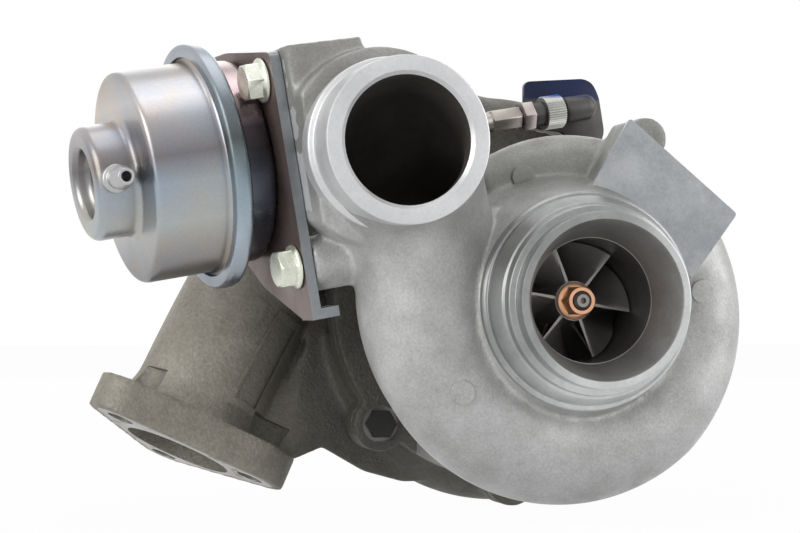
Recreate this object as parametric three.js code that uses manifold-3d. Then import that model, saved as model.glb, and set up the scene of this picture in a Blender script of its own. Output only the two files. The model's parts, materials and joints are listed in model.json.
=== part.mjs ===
// A turbocharger with movable turbine vanes and a vacuum actuator, in millimetres, +Z up.
// The shaft lies along Y: the compressor inlet faces -Y, the turbine outlet +Y.
// A station is a place along the shaft. Station zero is the back plane of the compressor wheel.
import * as THREE from "three";
import { mergeVertices } from "three/addons/utils/BufferGeometryUtils.js";
import Module from "manifold-3d";

// Clearances
const seatGap = 0.3;
const bladeGap = 0.46;
const cutOverrun = 3;
const weldDistance = 0.0001;

// A length past the whole part, for cuts that take away all beyond a face
const farOff = 300;

// Facets round a turned piece, from the casings down to the small screws
const casingSides = 24;
const canSides = 20;
const innerSides = 12;
const wheelSides = 16;
const partSides = 12;
const screwSides = 8;
const pinSides = 6;
const ringSectionSides = 8;
const cornerSteps = 2;
const passageSides = 12;

// Compressor wheel
const inducerRadius = 17.5;
const exducerRadius = 24.5;
const wheelLength = 27;
const exducerWidth = 3.2;
const wheelDiscEdge = 1.2;
const hubNoseRadius = 5.8;
const bladeThickness = 0.8;
const bladeRootDepth = 0.5;
const bladeCount = 6;
const splitterStartShare = 0.36;
const bladeWrap = 52;
const bladeLead = 12;
const bladeSteps = 5;
const splitterSteps = 3;
const wheelStraightShare = 0.34;
const hubStraightShare = 0.08;
const hubSampleShares = [0, 0.14, 0.3, 0.45, 0.6, 0.75, 0.88, 1];
const coverSampleShares = [0, 0.34, 0.5, 0.62, 0.74, 0.87, 1];

// Compressor cover: snout, bore and back flange
const lipReach = 57;
const mouthRadius = 22.84;
const lipRadius = 25;
const lipLength = 7;
const lipStep = 1.6;
const snoutRadius = 30.3;
const snoutLength = 17;
const valleyRadius = 33;
const valleyLength = 20;
const mouthConeLength = 13.6;
const coverShoulderRadius = 40;
const shoulderShare = 0.3;
const registerBore = 44;
const registerWall = 4;
const registerDepth = 9;
const diffuserGap = 3.5;
const diffuserRadius = 42;

// Compressor volute and outlet pipe
const voluteStartAngle = 125;
const voluteEndAngle = -180;
const voluteStartRadius = 5.6;
const voluteEndRadius = 17;
const voluteInnerRadius = 32.5;
const voluteEndInnerRadius = 25.3;
const voluteDrawStartShare = 0.57;
const voluteDrawEndShare = 0.9;
const voluteBackGap = 1;
const voluteWall = 3.75;
const voluteSteps = 15;
const outletX = -57.8;
const outletZ = 43.7;
const outletReach = 60;
const outletYaw = 2.5;
const outletBore = 18;
const outletWall = 5.3;
const outletChamfer = 1.2;
const outletBeadRadius = 24.6;
const outletBeadReach = 41;
const outletBeadLength = 3;
const outletSteps = 6;
const outletRiseShare = 0.62;
const collarRadius = 28.5;
const collarReach = 35;
const collarLength = 17;
const collarTaper = 9;

// Cast web between the bracket face and the outlet collar
const webTop = 75.5;
const webDrop = 4;
const webLeft = 92;
const webRight = 64.5;
const webFoot = 44;
const webReach = 30;
const webLength = 18;

// Cast pad and boss on the compressor cover
const padAngle = 48;
const padRadius = 38.5;
const padWidth = 39;
const padHeight = 23;
const padReach = 28;
const padLength = 18;
const padCorner = 2.5;
const padBossX = 30;
const padBossZ = 49;
const padBossRadius = 6.5;
const padBossReach = 12;
const padBossLength = 12;

// Backplate and its sealing
const backplateThickness = 5.5;
const backplateHubRadius = 28;
const backplateHubLength = 3;
const backplateBore = 7.5;
const oRingSection = 1.05;
const oRingCentre = 42.5;
const oRingStation = 3.4;
const snapRingThickness = 1.2;
const snapRingInner = 42.2;
const snapGrooveDepth = 1.5;
const snapRingOpening = 24;

// Shaft line
const shaftRadius = 2.6;
const journalRadius = 5;
const shaftTipReach = 35.5;
const nutFlangeRadius = 5.5;
const nutFlangeThickness = 1.1;
const nutFlats = 8;
const nutLength = 6;
const nutChamfer = 0.7;
const centreHoleRadius = 0.9;
const centreHoleDepth = 2;

// Bearing housing
const housingFrontRadius = 28;
const housingFrontThickness = 4;
const housingWaist = 23;
const turbineFlangeStation = 43;
const turbineFlangeThickness = 5;
const turbineFlangeRadius = 57;
const housingSlope = 8;
const oilInletHeight = 36;
const oilInletStation = 25;
const oilInletPad = 22;
const oilInletBore = 3.5;
const oilDrainDrop = 45;
const oilDrainStation = 25;
const oilDrainPad = 30;
const oilDrainBore = 8;
const oilDrainFoot = 40;
const padPlateThickness = 6;

// Bearings, thrust parts and seals
const bearingOuter = 8;
const bearingLength = 20;
const bearingFilm = 0.35;
const thrustBearingRadius = 16;
const thrustBearingThickness = 3.4;
const collarOuter = 6.8;
const thrustNeck = 4.9;
const collarFlangeThickness = 1.5;
const deflectorThickness = 1.2;
const sealRingSection = 1.2;
const bearingPinRadius = 1.6;
const bearingPinShare = 0.25;
const sealHubRadius = 7.4;
const sealHubLength = 5;

// Turbine wheel
const turbineRadius = 21.5;
const turbineExducerRadius = 18.5;
const turbineBackStation = 57.6;
const turbineLength = 20;
const turbineDiscEdge = 1.4;
const turbineHubRadius = 6.5;
const turbineBladeCount = 9;
const turbineBladeThickness = 1.2;
const turbineBladeSteps = 3;
const turbineWrap = 36;
const turbineNoseLength = 3;
const turbineStraightShare = 0.25;
const turbineSampleShares = [0, 0.2, 0.4, 0.6, 0.8, 1];
const turbineTipShares = [0, 0.35, 0.7, 1];
const shieldThickness = 0.8;
const shieldFlange = 2;
const shieldBoreGap = 2.5;

// Vane mechanism
const vaneCount = 9;
const vanePivotRadius = 28.5;
const vaneArmLength = 8.5;
const vaneArmTip = 2;
const vaneArmPlate = 2.3;
const vaneShaftRadius = 2.3;
const vaneWidth = 6.7;
const vaneChord = 14;
const vaneBodyRadius = 1.9;
const vaneSet = 28;
const vaneEdge = 0.4;
const vanePivotShare = 0.4;
const vaneArmHub = 3.2;
const vaneArmNeck = 1.3;
const unisonInner = 34.5;
const unisonOuter = 42.4;
const unisonStation = 49.3;
const armSlotDepth = 5;
const crankSlotBottom = 36.8;
const nozzleStation = 55;
const nozzleThickness = 3;
const nozzleInner = 23.6;
const nozzleBore = 43.8;
const spacerCount = 3;
const spacerRadius = 2;
const spacerCircle = 39.5;
const guidePinRadius = 1.6;

// Crank, lever and link
const crankCircle = 46;
const crankAngle = 60;
const crankShaftRadius = 2.9;
const crankNeckRadius = 2.2;
const crankArmLength = 7;
const crankArmPlate = 2;
const crankHubRadius = 3.4;
const crankPinRadius = 1.6;
const crankPocketRadius = 3.9;
const bushRadius = 6;
const bushReach = 2.4;
const leverLength = 17.44;
const leverThickness = 2.5;
const leverHubRadius = 6.5;
const leverEndRadius = 4.6;
const linkPinRadius = 2;
const linkPlateStation = 34.5;
const linkPlateThickness = 2.5;
const clipThickness = 1.1;
const clipShare = 0.75;
const clipRadius = 4.2;
const clipRoom = 1.7;
const clipOpening = 2.6;
const actuatorTravel = 9;

// Turbine housing
const scrollDuctAngle = 149;
const scrollShoulderAngle = 90;
const scrollTailAngle = -170;
const scrollDuctRadius = 17.5;
const scrollShoulderRadius = 13;
const scrollTailRadius = 8;
const scrollInnerRadius = 38.5;
const scrollDuctShift = 12.5;
const scrollWall = 4.4;
const scrollFrontStation = 57;
const scrollSteps = 12;
const throatRadius = 45;
const outletPipeRadius = 27;
const outletPipeStation = 100;
const outletLipRadius = 31;
const outletLipLength = 5;
const outletEndBore = 22.5;
const shroudRadius = 36;
const inletFlangeX = -103.5;
const inletFlangeY = 68;
const inletFlangeZ = -47.8;
const inletFlangeNormal = [-0.42, -0.12, -0.9];
const inletFlangeThickness = 11.5;
const inletFlangeLength = 67.5;
const inletFlangeDepth = 58;
const inletFlangeCorner = 11;
const inletFlangeHole = 4.3;
const inletFlangeApex = 9;
const flangeFootShare = 0.42;
const flangeLandAlong = 0;
const flangeLandAcross = -21;
const ductBendShare = 0.35;
const ductSteps = 4;
const ribThickness = 5;
const ribStation = 63;
const ribReach = 66;
const ribReachShares = [1.25, 1.27, 1.12, 1.06, 1, 0.9, 0.6, 0.9];
const ribAngles = [-147, -142.6, -140.5, -128, -117, -100, -120, 175];

// Bolts that join the turbine housing to the bearing housing
const housingBoltAngles = [-137, -88, -25, 35, 110, 165];
const boltEarRadius = 8.8;
const boltRecessRadius = 6;
const boltRecessDepth = 2.4;
const boltHeadRadius = 4.2;
const boltHeadHeight = 4;
const boltShankRadius = 2.8;
const boltEarDepth = 9;
const boltHoleDepth = 6.4;

// Actuator, with its own axis from the bracket towards the cap
const actuatorX = -91.49;
const actuatorY = 13.25;
const actuatorZ = 42.53;
const actuatorDirection = [-0.9742, -0.1456, -0.1723];
const canWall = 1.2;
const roundShare = 0.3;
const rearCanRadius = 30.4;
const rearCanRound = 3;
const rearCanLength = 10.3;
const canFlangeWidth = 5.1;
const capStep = 1.1;
const capLength = 37;
const capShoulder = 4.2;
const bossRadius = 17;
const bossLength = 12.6;
const bossRecessRadius = 11;
const bossRecessDepth = 2;
const crimpWall = 1.5;
const crimpLip = 2.3;
const crimpRound = 1;
const diaphragmThickness = 1;
const pistonMargin = 9.4;
const pistonClearance = 3.4;
const pistonHeight = 6.5;
const springMargin = 3;
const springWire = 1.4;
const springTurns = 6;
const springSteps = 8;
const springSides = 5;
const nippleStation = 44.6;
const nippleReach = 30;
const nippleRadius = 3;
const nippleBore = 1.5;
const nippleCollar = 4.2;
const nippleCollarLength = 2.2;
const nippleBarb = 0.6;
const studSpacing = 20;
const studRadius = 2.5;
const studNutFlats = 8;
const studNutHeight = 4.5;
const rodHoleRadius = 8;

// Rod, its screwed adjuster and the link plate
const rodRadius = 3;
const rodThreadRadius = 2.4;
const rodHexStart = 83;
const rodHexLength = 10;
const rodHexFlats = 6.6;
const lockNutLength = 4.4;
const lockNutFlats = 9;
const adjusterRadius = 3.3;
const adjusterLength = 4;
const knurlRadius = 5.5;
const knurlLength = 6.4;
const knurlTeeth = 24;
const knurlDepth = 0.5;
const sleeveRadius = 4.2;
const sleeveLength = 11.4;
const sleeveDome = 2.6;
const saddleShare = 0.4;
const saddleDepthShare = 0.4;
const linkLeft = 3.5;
const linkWidth = 27;
const linkFoot = 49;
const linkHeight = 23.5;
const linkAcrossShares = [0, 0.02, 0.4, 0.56, 0.62, 0.92, 1, 0.93, 0.85, 0.74];
const linkUpShares = [0.87, 0.6, 0.5, 0.3, 0.02, 0.02, 0.25, 0.75, 0.93, 0.99];

// Bracket
const bracketThickness = 3;
const bracketOffset = 0.2;
const bracketTop = 28.5;
const bracketTopRise = 4;
const bracketNear = 38.6;
const bracketFar = 30;
const bracketBottom = 49;
const bracketBottomRise = 10;
const bracketFarCut = 14;
const bracketLowShare = 0.8;
const bracketFootLength = 5.4;
const bracketFootWidth = 9;
const upperBoltMargin = 6.15;
const upperBoltAngle = 144.35;
const lowerBoltMargin = 15.58;
const lowerBoltAngle = -133.69;
const bracketBossRadius = 8;
const bracketBossLength = 22;
const bracketBoltFlats = 10;
const bracketBoltFlange = 6.6;
const bracketBoltFlangeThickness = 1.6;
const bracketBoltHead = 6;
const bracketBoltShank = 3;
const bracketBoltDepth = 14;

// Finishes
const castAluminium = { color: 0xb9b6b0, roughness: 0.62, metalness: 0.75 };
const machinedAluminium = { color: 0xc9c9c8, roughness: 0.3, metalness: 0.9 };
const copper = { color: 0xb4764a, roughness: 0.35, metalness: 0.9 };
const castIron = { color: 0x6e6863, roughness: 0.75, metalness: 0.6 };
const steel = { color: 0x9b9c9e, roughness: 0.35, metalness: 0.9 };
const heatSteel = { color: 0x7d776f, roughness: 0.5, metalness: 0.85 };
const zincSteel = { color: 0xb7b9c4, roughness: 0.3, metalness: 0.9 };
const purpleZinc = { color: 0x8a7f92, roughness: 0.35, metalness: 0.9 };
const greenZinc = { color: 0xa7a77c, roughness: 0.4, metalness: 0.85 };
const blackSteel = { color: 0x2b2b2d, roughness: 0.5, metalness: 0.7 };
const bronze = { color: 0xa98a52, roughness: 0.4, metalness: 0.9 };
const rubber = { color: 0x1c1c1c, roughness: 0.85, metalness: 0 };

// Angles in degrees everywhere above
const degree = Math.PI / 180;
const fullTurn = Math.PI * 2;
const halfTurn = Math.PI;
const quarterTurn = Math.PI / 2;
const half = 0.5;
const wholeTurn = 360;
const hexCorners = 6;

const wasm = await Module();
wasm.setup();

// Geometry helpers

const lerp = THREE.MathUtils.lerp;
const mid = (a, b) => (a + b) / 2;
const vector = (x, y, z) => new THREE.Vector3(x, y, z);

// The point at a radius and an angle in the plane across the shaft, the angle counted as seen from the inlet.
const polar = (radius, angle) => [radius * Math.cos(angle * degree), radius * Math.sin(angle * degree)];

// Six times the volume inside a list of faces, negative when they face inwards.
function signedVolume(points, faces) {
  const corner = (i) => vector(points[3 * i], points[3 * i + 1], points[3 * i + 2]);
  let sum = 0;
  for (let i = 0; i < faces.length; i += 3) {
    const [a, b, c] = [corner(faces[i]), corner(faces[i + 1]), corner(faces[i + 2])];
    sum += a.dot(b.cross(c));
  }
  return sum;
}

// A closed geometry with its shared corners welded, as a solid that can be joined and cut.
function asSolid(form) {
  if (!form.isBufferGeometry) return form;
  const loose = form.index ? form.toNonIndexed() : form.clone();
  const bare = new THREE.BufferGeometry().setAttribute("position", loose.getAttribute("position"));
  const welded = mergeVertices(bare, weldDistance);
  const points = new Float32Array(welded.getAttribute("position").array);
  const faces = [];
  for (let i = 0; i < welded.index.count; i += 3) {
    const [a, b, c] = [welded.index.getX(i), welded.index.getX(i + 1), welded.index.getX(i + 2)];
    if (a !== b && b !== c && c !== a) faces.push(a, b, c);
  }
  const triVerts = Uint32Array.from(signedVolume(points, faces) < 0 ? faces.reverse() : faces);
  return new wasm.Manifold(new wasm.Mesh({ numProp: 3, vertProperties: points, triVerts }));
}

const join = (...forms) => forms.map(asSolid).reduce((whole, next) => whole.add(next));
const cut = (body, ...tools) => tools.map(asSolid).reduce((left, tool) => left.subtract(tool), asSolid(body));
const common = (...forms) => forms.map(asSolid).reduce((whole, next) => whole.intersect(next));

// A named mesh with its own material.
function piece(parent, name, form, finish) {
  const mesh = asSolid(form).getMesh();
  const geometry = new THREE.BufferGeometry();
  geometry.setAttribute("position", new THREE.BufferAttribute(mesh.vertProperties, mesh.numProp));
  geometry.setIndex(new THREE.BufferAttribute(mesh.triVerts, 1));
  geometry.computeVertexNormals();
  const made = new THREE.Mesh(geometry, new THREE.MeshStandardMaterial(finish));
  made.name = name;
  parent.add(made);
  return made;
}

// A profile of radius and station pairs turned about Y. It starts and ends on the axis or closes on itself.
function turned(pairs, sides = casingSides) {
  const onAxis = pairs[0][0] === 0 && pairs[pairs.length - 1][0] === 0;
  const outline = onAxis ? pairs : [...pairs, pairs[0]];
  return new THREE.LatheGeometry(outline.map(([r, y]) => new THREE.Vector2(r, y)), sides);
}

const post = (radius, front, back, sides = partSides) =>
  turned([[0, front], [radius, front], [radius, back], [0, back]], sides);
const ring = (inner, outer, front, back, sides = partSides) =>
  turned([[inner, front], [outer, front], [outer, back], [inner, back]], sides);

// An outline in X and Z between two stations.
function slab(shape, front, back) {
  const options = { depth: back - front, bevelEnabled: false, curveSegments: cornerSteps };
  return new THREE.ExtrudeGeometry(shape, options).rotateX(quarterTurn).translate(0, back, 0);
}

const shapeOf = (pairs) => new THREE.Shape(pairs.map(([x, z]) => new THREE.Vector2(x, z)));

function box(x0, x1, z0, z1, front, back) {
  return slab(shapeOf([[x0, z0], [x1, z0], [x1, z1], [x0, z1]]), front, back);
}

// A hexagon by its width across flats.
function hexagon(flats) {
  const corner = flats / Math.sqrt(3);
  return shapeOf(Array.from({ length: hexCorners }, (_, k) => polar(corner, (wholeTurn * k) / hexCorners)));
}

// A rectangle with round corners about the origin.
function roundedRectangle(width, height, radius) {
  const [x, z] = [width / 2, height / 2];
  const shape = new THREE.Shape();
  shape.moveTo(-x + radius, -z);
  shape.absarc(x - radius, -z + radius, radius, -quarterTurn, 0);
  shape.absarc(x - radius, z - radius, radius, 0, quarterTurn);
  shape.absarc(-x + radius, z - radius, radius, quarterTurn, halfTurn);
  shape.absarc(-x + radius, -z + radius, radius, halfTurn, halfTurn + quarterTurn);
  return shape;
}

// The outline round two circles of unlike radius, from the origin along an angle in degrees.
function taperedBar(nearRadius, farRadius, length, angle) {
  const lean = Math.asin((nearRadius - farRadius) / length);
  const [fx, fz] = polar(length, angle);
  const turn = angle * degree;
  const shape = new THREE.Shape();
  shape.absarc(0, 0, nearRadius, turn + quarterTurn - lean, turn - quarterTurn + lean, false);
  shape.absarc(fx, fz, farRadius, turn - quarterTurn + lean, turn + quarterTurn - lean, false);
  return shape;
}

// Rings of equally many points, joined side to side and closed by a fan at each end.
function loft(rings) {
  const sides = rings[0].length;
  const last = (rings.length - 1) * sides;
  const points = rings.flat();
  const centre = (loop) => loop.reduce((sum, p) => sum.add(p), vector(0, 0, 0)).divideScalar(sides);
  const [nearCentre, farCentre] = [points.length, points.length + 1];
  points.push(centre(rings[0]), centre(rings[rings.length - 1]));
  const faces = [];
  for (let k = 0; k < sides; k++) {
    const next = (k + 1) % sides;
    for (let row = 0; row < last; row += sides) {
      faces.push(row + k, row + next, row + next + sides);
      faces.push(row + k, row + next + sides, row + k + sides);
    }
    faces.push(nearCentre, next, k);
    faces.push(farCentre, last + k, last + next);
  }
  return new THREE.BufferGeometry().setFromPoints(points).setIndex(faces);
}

// A circle of points about a station of a route, in the plane of its two cross directions.
function hoop(stop, radius) {
  return Array.from({ length: passageSides }, (_, k) => {
    const turn = (k / passageSides) * fullTurn;
    const reach = stop.out.clone().multiplyScalar(radius * Math.cos(turn));
    return reach.addScaledVector(stop.side, radius * Math.sin(turn)).add(stop.centre);
  });
}

// One stop of a route: its centre, the direction it runs in, and two directions across it.
function stopAt(centre, heading, out, radius, wall) {
  const ahead = heading.clone().normalize();
  const across = out.clone().addScaledVector(ahead, -out.dot(ahead)).normalize();
  return { centre, ahead, out: across, side: across.clone().cross(ahead), radius, wall };
}

// The last stop of a route moved on along its own direction.
function beyond(stop, length) {
  return { ...stop, centre: stop.centre.clone().addScaledVector(stop.ahead, length) };
}

const skinOf = (route) => loft(route.map((stop) => hoop(stop, stop.radius + stop.wall)));
const boreOf = (route) => loft(route.map((stop) => hoop(stop, stop.radius)));

// Places that several pieces share

const lipStation = -lipReach;
const noseStation = -wheelLength;
const backplateFront = 2 * seatGap;
const backplateBack = backplateFront + backplateThickness;
const backplateHubBack = backplateBack + backplateHubLength;
const registerOuter = registerBore + registerWall;
const housingFront = backplateHubBack + seatGap;
const thrustPocketDepth = thrustBearingThickness + deflectorThickness + 3 * seatGap;
const thrustPocketBack = housingFront + thrustPocketDepth;
const thrustBearingFront = thrustPocketBack - seatGap - thrustBearingThickness;
const flingerFlangeBack = thrustBearingFront - 2 * seatGap;
const journalStart = thrustPocketBack + collarFlangeThickness + seatGap;
const bearingBack = journalStart + bearingLength + 2 * seatGap;
const sealBoreStation = bearingBack + seatGap;
const sealHubFront = sealBoreStation + seatGap;
const sealHubBack = sealHubFront + sealHubLength;
const sealBore = sealHubRadius + bearingFilm;
const turbineFlangeBack = turbineFlangeStation + turbineFlangeThickness;
const housingBoltCircle = turbineFlangeRadius;
const turbineHousingFront = turbineFlangeBack + seatGap;
const nozzleBack = nozzleStation + nozzleThickness;
const shroudStation = nozzleBack + vaneWidth + 2 * seatGap;
const armTipCircle = vanePivotRadius + vaneArmLength;
const unisonBack = unisonStation + vaneArmPlate;
const crankArmFront = unisonBack + 2 * seatGap;
const crankArmBack = crankArmFront + crankArmPlate;
const linkPlateBack = linkPlateStation + linkPlateThickness;
const leverFront = linkPlateBack + seatGap;
const leverBack = leverFront + leverThickness;
const holeFor = (radius) => radius + seatGap;

// The actuator's frame: Y runs along its axis towards the cap, Z is up, X points away from the inlet.
const alongRod = vector(...actuatorDirection).normalize();
const upRod = vector(0, 0, 1).addScaledVector(alongRod, -alongRod.z).normalize();
const acrossRod = alongRod.clone().cross(upRod);
const actuatorFrame = new THREE.Matrix4().makeBasis(acrossRod, alongRod, upRod);
actuatorFrame.setPosition(actuatorX, actuatorY, actuatorZ);
const bracketLeft = -bracketOffset;
const bracketRight = bracketLeft - bracketThickness;
const coverFace = bracketRight - seatGap;
const [upperBoltAcross, upperBoltUp] = polar(rearCanRadius + upperBoltMargin, upperBoltAngle);
const [lowerBoltAcross, lowerBoltUp] = polar(rearCanRadius + lowerBoltMargin, lowerBoltAngle);

// The slide's path across the shaft, and the lever that swings equally to each side of its square position.
const slidePath = new THREE.Vector2(alongRod.x, alongRod.z);
const slideAngle = slidePath.angle() / degree;
const halfSwing = Math.atan((actuatorTravel * slidePath.length()) / 2 / leverLength) / degree;
const leverMidAngle = slideAngle - 90;
const leverRestAngle = leverMidAngle - halfSwing;
const crankArmAngle = crankAngle + 180 - leverMidAngle;
const armTipRadius = crankCircle - crankArmLength;
const ringRest = (halfSwing * crankArmLength) / armTipRadius;
const vaneRest = (ringRest * armTipCircle) / vaneArmLength;
const [crankX, crankZ] = polar(crankCircle, crankAngle);
const [pinOutX, pinOutZ] = polar(leverLength / Math.cos(halfSwing * degree), leverRestAngle);
const [linkPinX, linkPinZ] = [crankX + pinOutX, crankZ + pinOutZ];

// A form made about Y, moved so that Y points along a direction from a place.
function aimed(form, place, direction) {
  const turn = new THREE.Quaternion().setFromUnitVectors(vector(0, 1, 0), direction.clone().normalize());
  return form.applyQuaternion(turn).translate(place.x, place.y, place.z);
}

const atPolar = (form, radius, angle) => {
  const [x, z] = polar(radius, angle);
  return form.translate(x, 0, z);
};

// A blade edge that runs along the shaft for a share of its way and then bends out across it.
function meridian(share, [startRadius, startStation], [endRadius, endStation], straightShare) {
  if (share < straightShare) return [startRadius, lerp(startStation, endStation, share)];
  const bendStation = lerp(startStation, endStation, straightShare);
  const turn = ((share - straightShare) / (1 - straightShare)) * quarterTurn;
  return [lerp(endRadius, startRadius, Math.cos(turn)), lerp(bendStation, endStation, Math.sin(turn))];
}

// A blade lofted from four-cornered sections along the flow.
function blade(startShare, steps, rootAt, tipAt, angleAt, thickness) {
  const corner = ([radius, station], angle, side) => {
    const turn = angle * degree + (side * thickness) / 2 / radius;
    return vector(radius * Math.cos(turn), station, radius * Math.sin(turn));
  };
  const sections = Array.from({ length: steps + 1 }, (_, i) => {
    const share = lerp(startShare, 1, i / steps);
    const [root, tip, angle] = [rootAt(share), tipAt(share), angleAt(share)];
    return [corner(root, angle, -1), corner(root, angle, 1), corner(tip, angle, 1), corner(tip, angle, -1)];
  });
  return loft(sections);
}

// Compressor wheel edges

function wheelTip(share, gap = 0) {
  const start = [inducerRadius + gap, noseStation + bladeRootDepth];
  const end = [exducerRadius + gap, -exducerWidth - gap];
  return meridian(share, start, end, wheelStraightShare);
}

const wheelHub = (share) =>
  meridian(share, [hubNoseRadius, noseStation], [exducerRadius, -wheelDiscEdge], hubStraightShare);

function compressorWheel() {
  const bore = holeFor(shaftRadius);
  const hubLine = hubSampleShares.map(wheelHub);
  const hub = turned([[bore, noseStation], ...hubLine, [exducerRadius, 0], [bore, 0]], wheelSides);
  const root = (share) => {
    const [radius, station] = wheelHub(share);
    return [radius - bladeRootDepth, station + bladeRootDepth];
  };
  const blades = [];
  for (let k = 0; k < bladeCount; k++) {
    const start = (wholeTurn * k) / bladeCount + bladeLead;
    const next = start + wholeTurn / bladeCount / 2;
    const fullAngle = (share) => start + bladeWrap * share;
    const splitterAngle = (share) => next + bladeWrap * share;
    blades.push(blade(0, bladeSteps, root, wheelTip, fullAngle, bladeThickness));
    blades.push(blade(splitterStartShare, splitterSteps, root, wheelTip, splitterAngle, bladeThickness));
  }
  return join(hub, ...blades);
}

function shaftNut() {
  const back = noseStation - seatGap;
  const flangeFront = back - nutFlangeThickness;
  const front = flangeFront - nutLength;
  const corner = nutFlats / Math.sqrt(3);
  const crown = turned([
    [0, front],
    [nutFlats / 2, front],
    [corner, front + nutChamfer],
    [corner, back],
    [0, back],
  ], partSides);
  const hex = common(slab(hexagon(nutFlats), front, back), crown);
  const bore = post(holeFor(shaftRadius), front - cutOverrun, back + cutOverrun);
  return cut(join(hex, post(nutFlangeRadius, flangeFront, back)), bore);
}

// Compressor cover

const outletHeading = vector(Math.sin(outletYaw * degree), -Math.cos(outletYaw * degree), 0);
const outletFace = vector(outletX, -outletReach, outletZ);

// The passage round the wheel, growing clockwise as seen from the inlet, and then the bend to the outlet.
// Its inner side is drawn in towards the wheel over the last part, so that the outline stays nearly round.
function voluteRoute() {
  const stops = [];
  const drawShare = voluteDrawEndShare - voluteDrawStartShare;
  for (let i = 0; i <= voluteSteps; i++) {
    const share = i / voluteSteps;
    const angle = lerp(voluteStartAngle, voluteEndAngle, share);
    const radius = lerp(voluteStartRadius, voluteEndRadius, share);
    const drawn = THREE.MathUtils.clamp((share - voluteDrawStartShare) / drawShare, 0, 1);
    const [x, z] = polar(lerp(voluteInnerRadius, voluteEndInnerRadius, drawn) + radius, angle);
    const [outX, outZ] = polar(1, angle);
    const centre = vector(x, -voluteBackGap - radius, z);
    stops.push(stopAt(centre, vector(outZ, 0, -outX), vector(outX, 0, outZ), radius, voluteWall));
  }
  const start = stops[stops.length - 1];
  const rise = start.centre.clone().addScaledVector(start.ahead, outletZ * outletRiseShare);
  const approach = outletFace.clone().addScaledVector(outletHeading, -outletZ * outletRiseShare);
  const bend = new THREE.CubicBezierCurve3(start.centre, rise, approach, outletFace);
  for (let i = 1; i <= outletSteps; i++) {
    const share = i / outletSteps;
    const radius = lerp(voluteEndRadius, outletBore, share);
    const wall = lerp(voluteWall, outletWall, share);
    stops.push(stopAt(bend.getPoint(share), bend.getTangent(share), start.out, radius, wall));
  }
  return stops;
}

const reversed = (direction) => direction.clone().negate();

function compressorCover() {
  const route = voluteRoute();
  const bore = inducerRadius + bladeGap;
  const core = turned([
    [0, lipStation],
    [lipRadius, lipStation],
    [lipRadius, lipStation + lipLength],
    [lipRadius + lipStep, lipStation + lipLength],
    [snoutRadius, lipStation + snoutLength],
    [valleyRadius, lipStation + valleyLength],
    [coverShoulderRadius, lipStation * shoulderShare],
    [registerOuter, -registerWall],
    [registerOuter, registerDepth],
    [0, registerDepth],
  ]);
  const inner = turned([
    [0, lipStation - cutOverrun],
    [mouthRadius, lipStation - cutOverrun],
    [mouthRadius, lipStation],
    [bore, lipStation + mouthConeLength],
    ...coverSampleShares.map((share) => wheelTip(share, bladeGap)),
    [exducerRadius + bladeGap, -diffuserGap],
    [diffuserRadius, -diffuserGap],
    [diffuserRadius, seatGap],
    [registerBore, seatGap],
    [registerBore, registerDepth + cutOverrun],
    [0, registerDepth + cutOverrun],
  ]);
  const grooveBack = backplateBack + snapRingThickness + 2 * seatGap;
  const groove = post(registerBore + snapGrooveDepth, backplateBack, grooveBack, casingSides);
  const inward = reversed(outletHeading);
  const outletSpot = (reach) => outletFace.clone().addScaledVector(inward, outletReach - reach);
  const collar = turned([
    [0, 0],
    [collarRadius, 0],
    [collarRadius, collarLength],
    [voluteEndRadius, collarLength + collarTaper],
    [0, collarLength + collarTaper],
  ], casingSides);
  const bead = post(outletBeadRadius, 0, outletBeadLength, casingSides);
  const body = join(
    core,
    skinOf(route),
    bracketSide(aimed(collar, outletSpot(collarReach), inward)),
    bracketSide(coverWeb()),
    aimed(bead, outletSpot(outletBeadReach + outletBeadLength), inward),
    bracketBoss(upperBoltAcross, upperBoltUp),
    bracketBoss(lowerBoltAcross, lowerBoltUp),
    coverPad(),
    coverLug(),
  );
  const mouth = turned([
    [0, -cutOverrun],
    [outletBore + outletChamfer, -cutOverrun],
    [outletBore + outletChamfer, 0],
    [outletBore, outletChamfer],
    [0, outletChamfer],
  ], partSides);
  return cut(
    body,
    inner,
    groove,
    boreOf([...route.slice(1), beyond(route[route.length - 1], cutOverrun)]),
    aimed(mouth, outletFace, inward),
    bracketSpace(),
    bracketBoltHole(upperBoltAcross, upperBoltUp),
    bracketBoltHole(lowerBoltAcross, lowerBoltUp),
  );
}

// What is on the cover's side of the bracket face.
function bracketSide(form) {
  const beyondFace = box(-farOff, farOff, -farOff, farOff, coverFace, farOff).applyMatrix4(actuatorFrame);
  return cut(form, beyondFace);
}

// The room that the bracket plate and the nuts behind it take.
function bracketSpace() {
  const near = -bracketNear - bracketBottomRise * half;
  return box(near, bracketFar + seatGap, -farOff, farOff, coverFace, farOff).applyMatrix4(actuatorFrame);
}

// A flat-topped web of the casting, between the bracket face and the collar.
function coverWeb() {
  const outline = shapeOf([
    [-webLeft, webFoot],
    [outletX, webFoot],
    [-webRight, webTop],
    [-webLeft, webTop - webDrop],
  ]);
  return slab(outline, -webReach, webLength - webReach);
}

function bracketBoss(across, up) {
  const boss = post(bracketBossRadius, coverFace - bracketBossLength, coverFace);
  return boss.translate(across, 0, up).applyMatrix4(actuatorFrame);
}

function bracketBoltHole(across, up) {
  const depth = bracketBoltDepth + seatGap;
  const hole = post(holeFor(bracketBoltShank), bracketRight - depth, coverFace + cutOverrun, screwSides);
  return hole.translate(across, 0, up).applyMatrix4(actuatorFrame);
}

// The flat cast block at the upper right of the cover.
function coverPad() {
  const outline = roundedRectangle(padWidth, padHeight, padCorner);
  const block = slab(outline, -padReach, padLength - padReach).rotateY((90 - padAngle) * degree);
  return atPolar(block, padRadius, padAngle);
}

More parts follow.
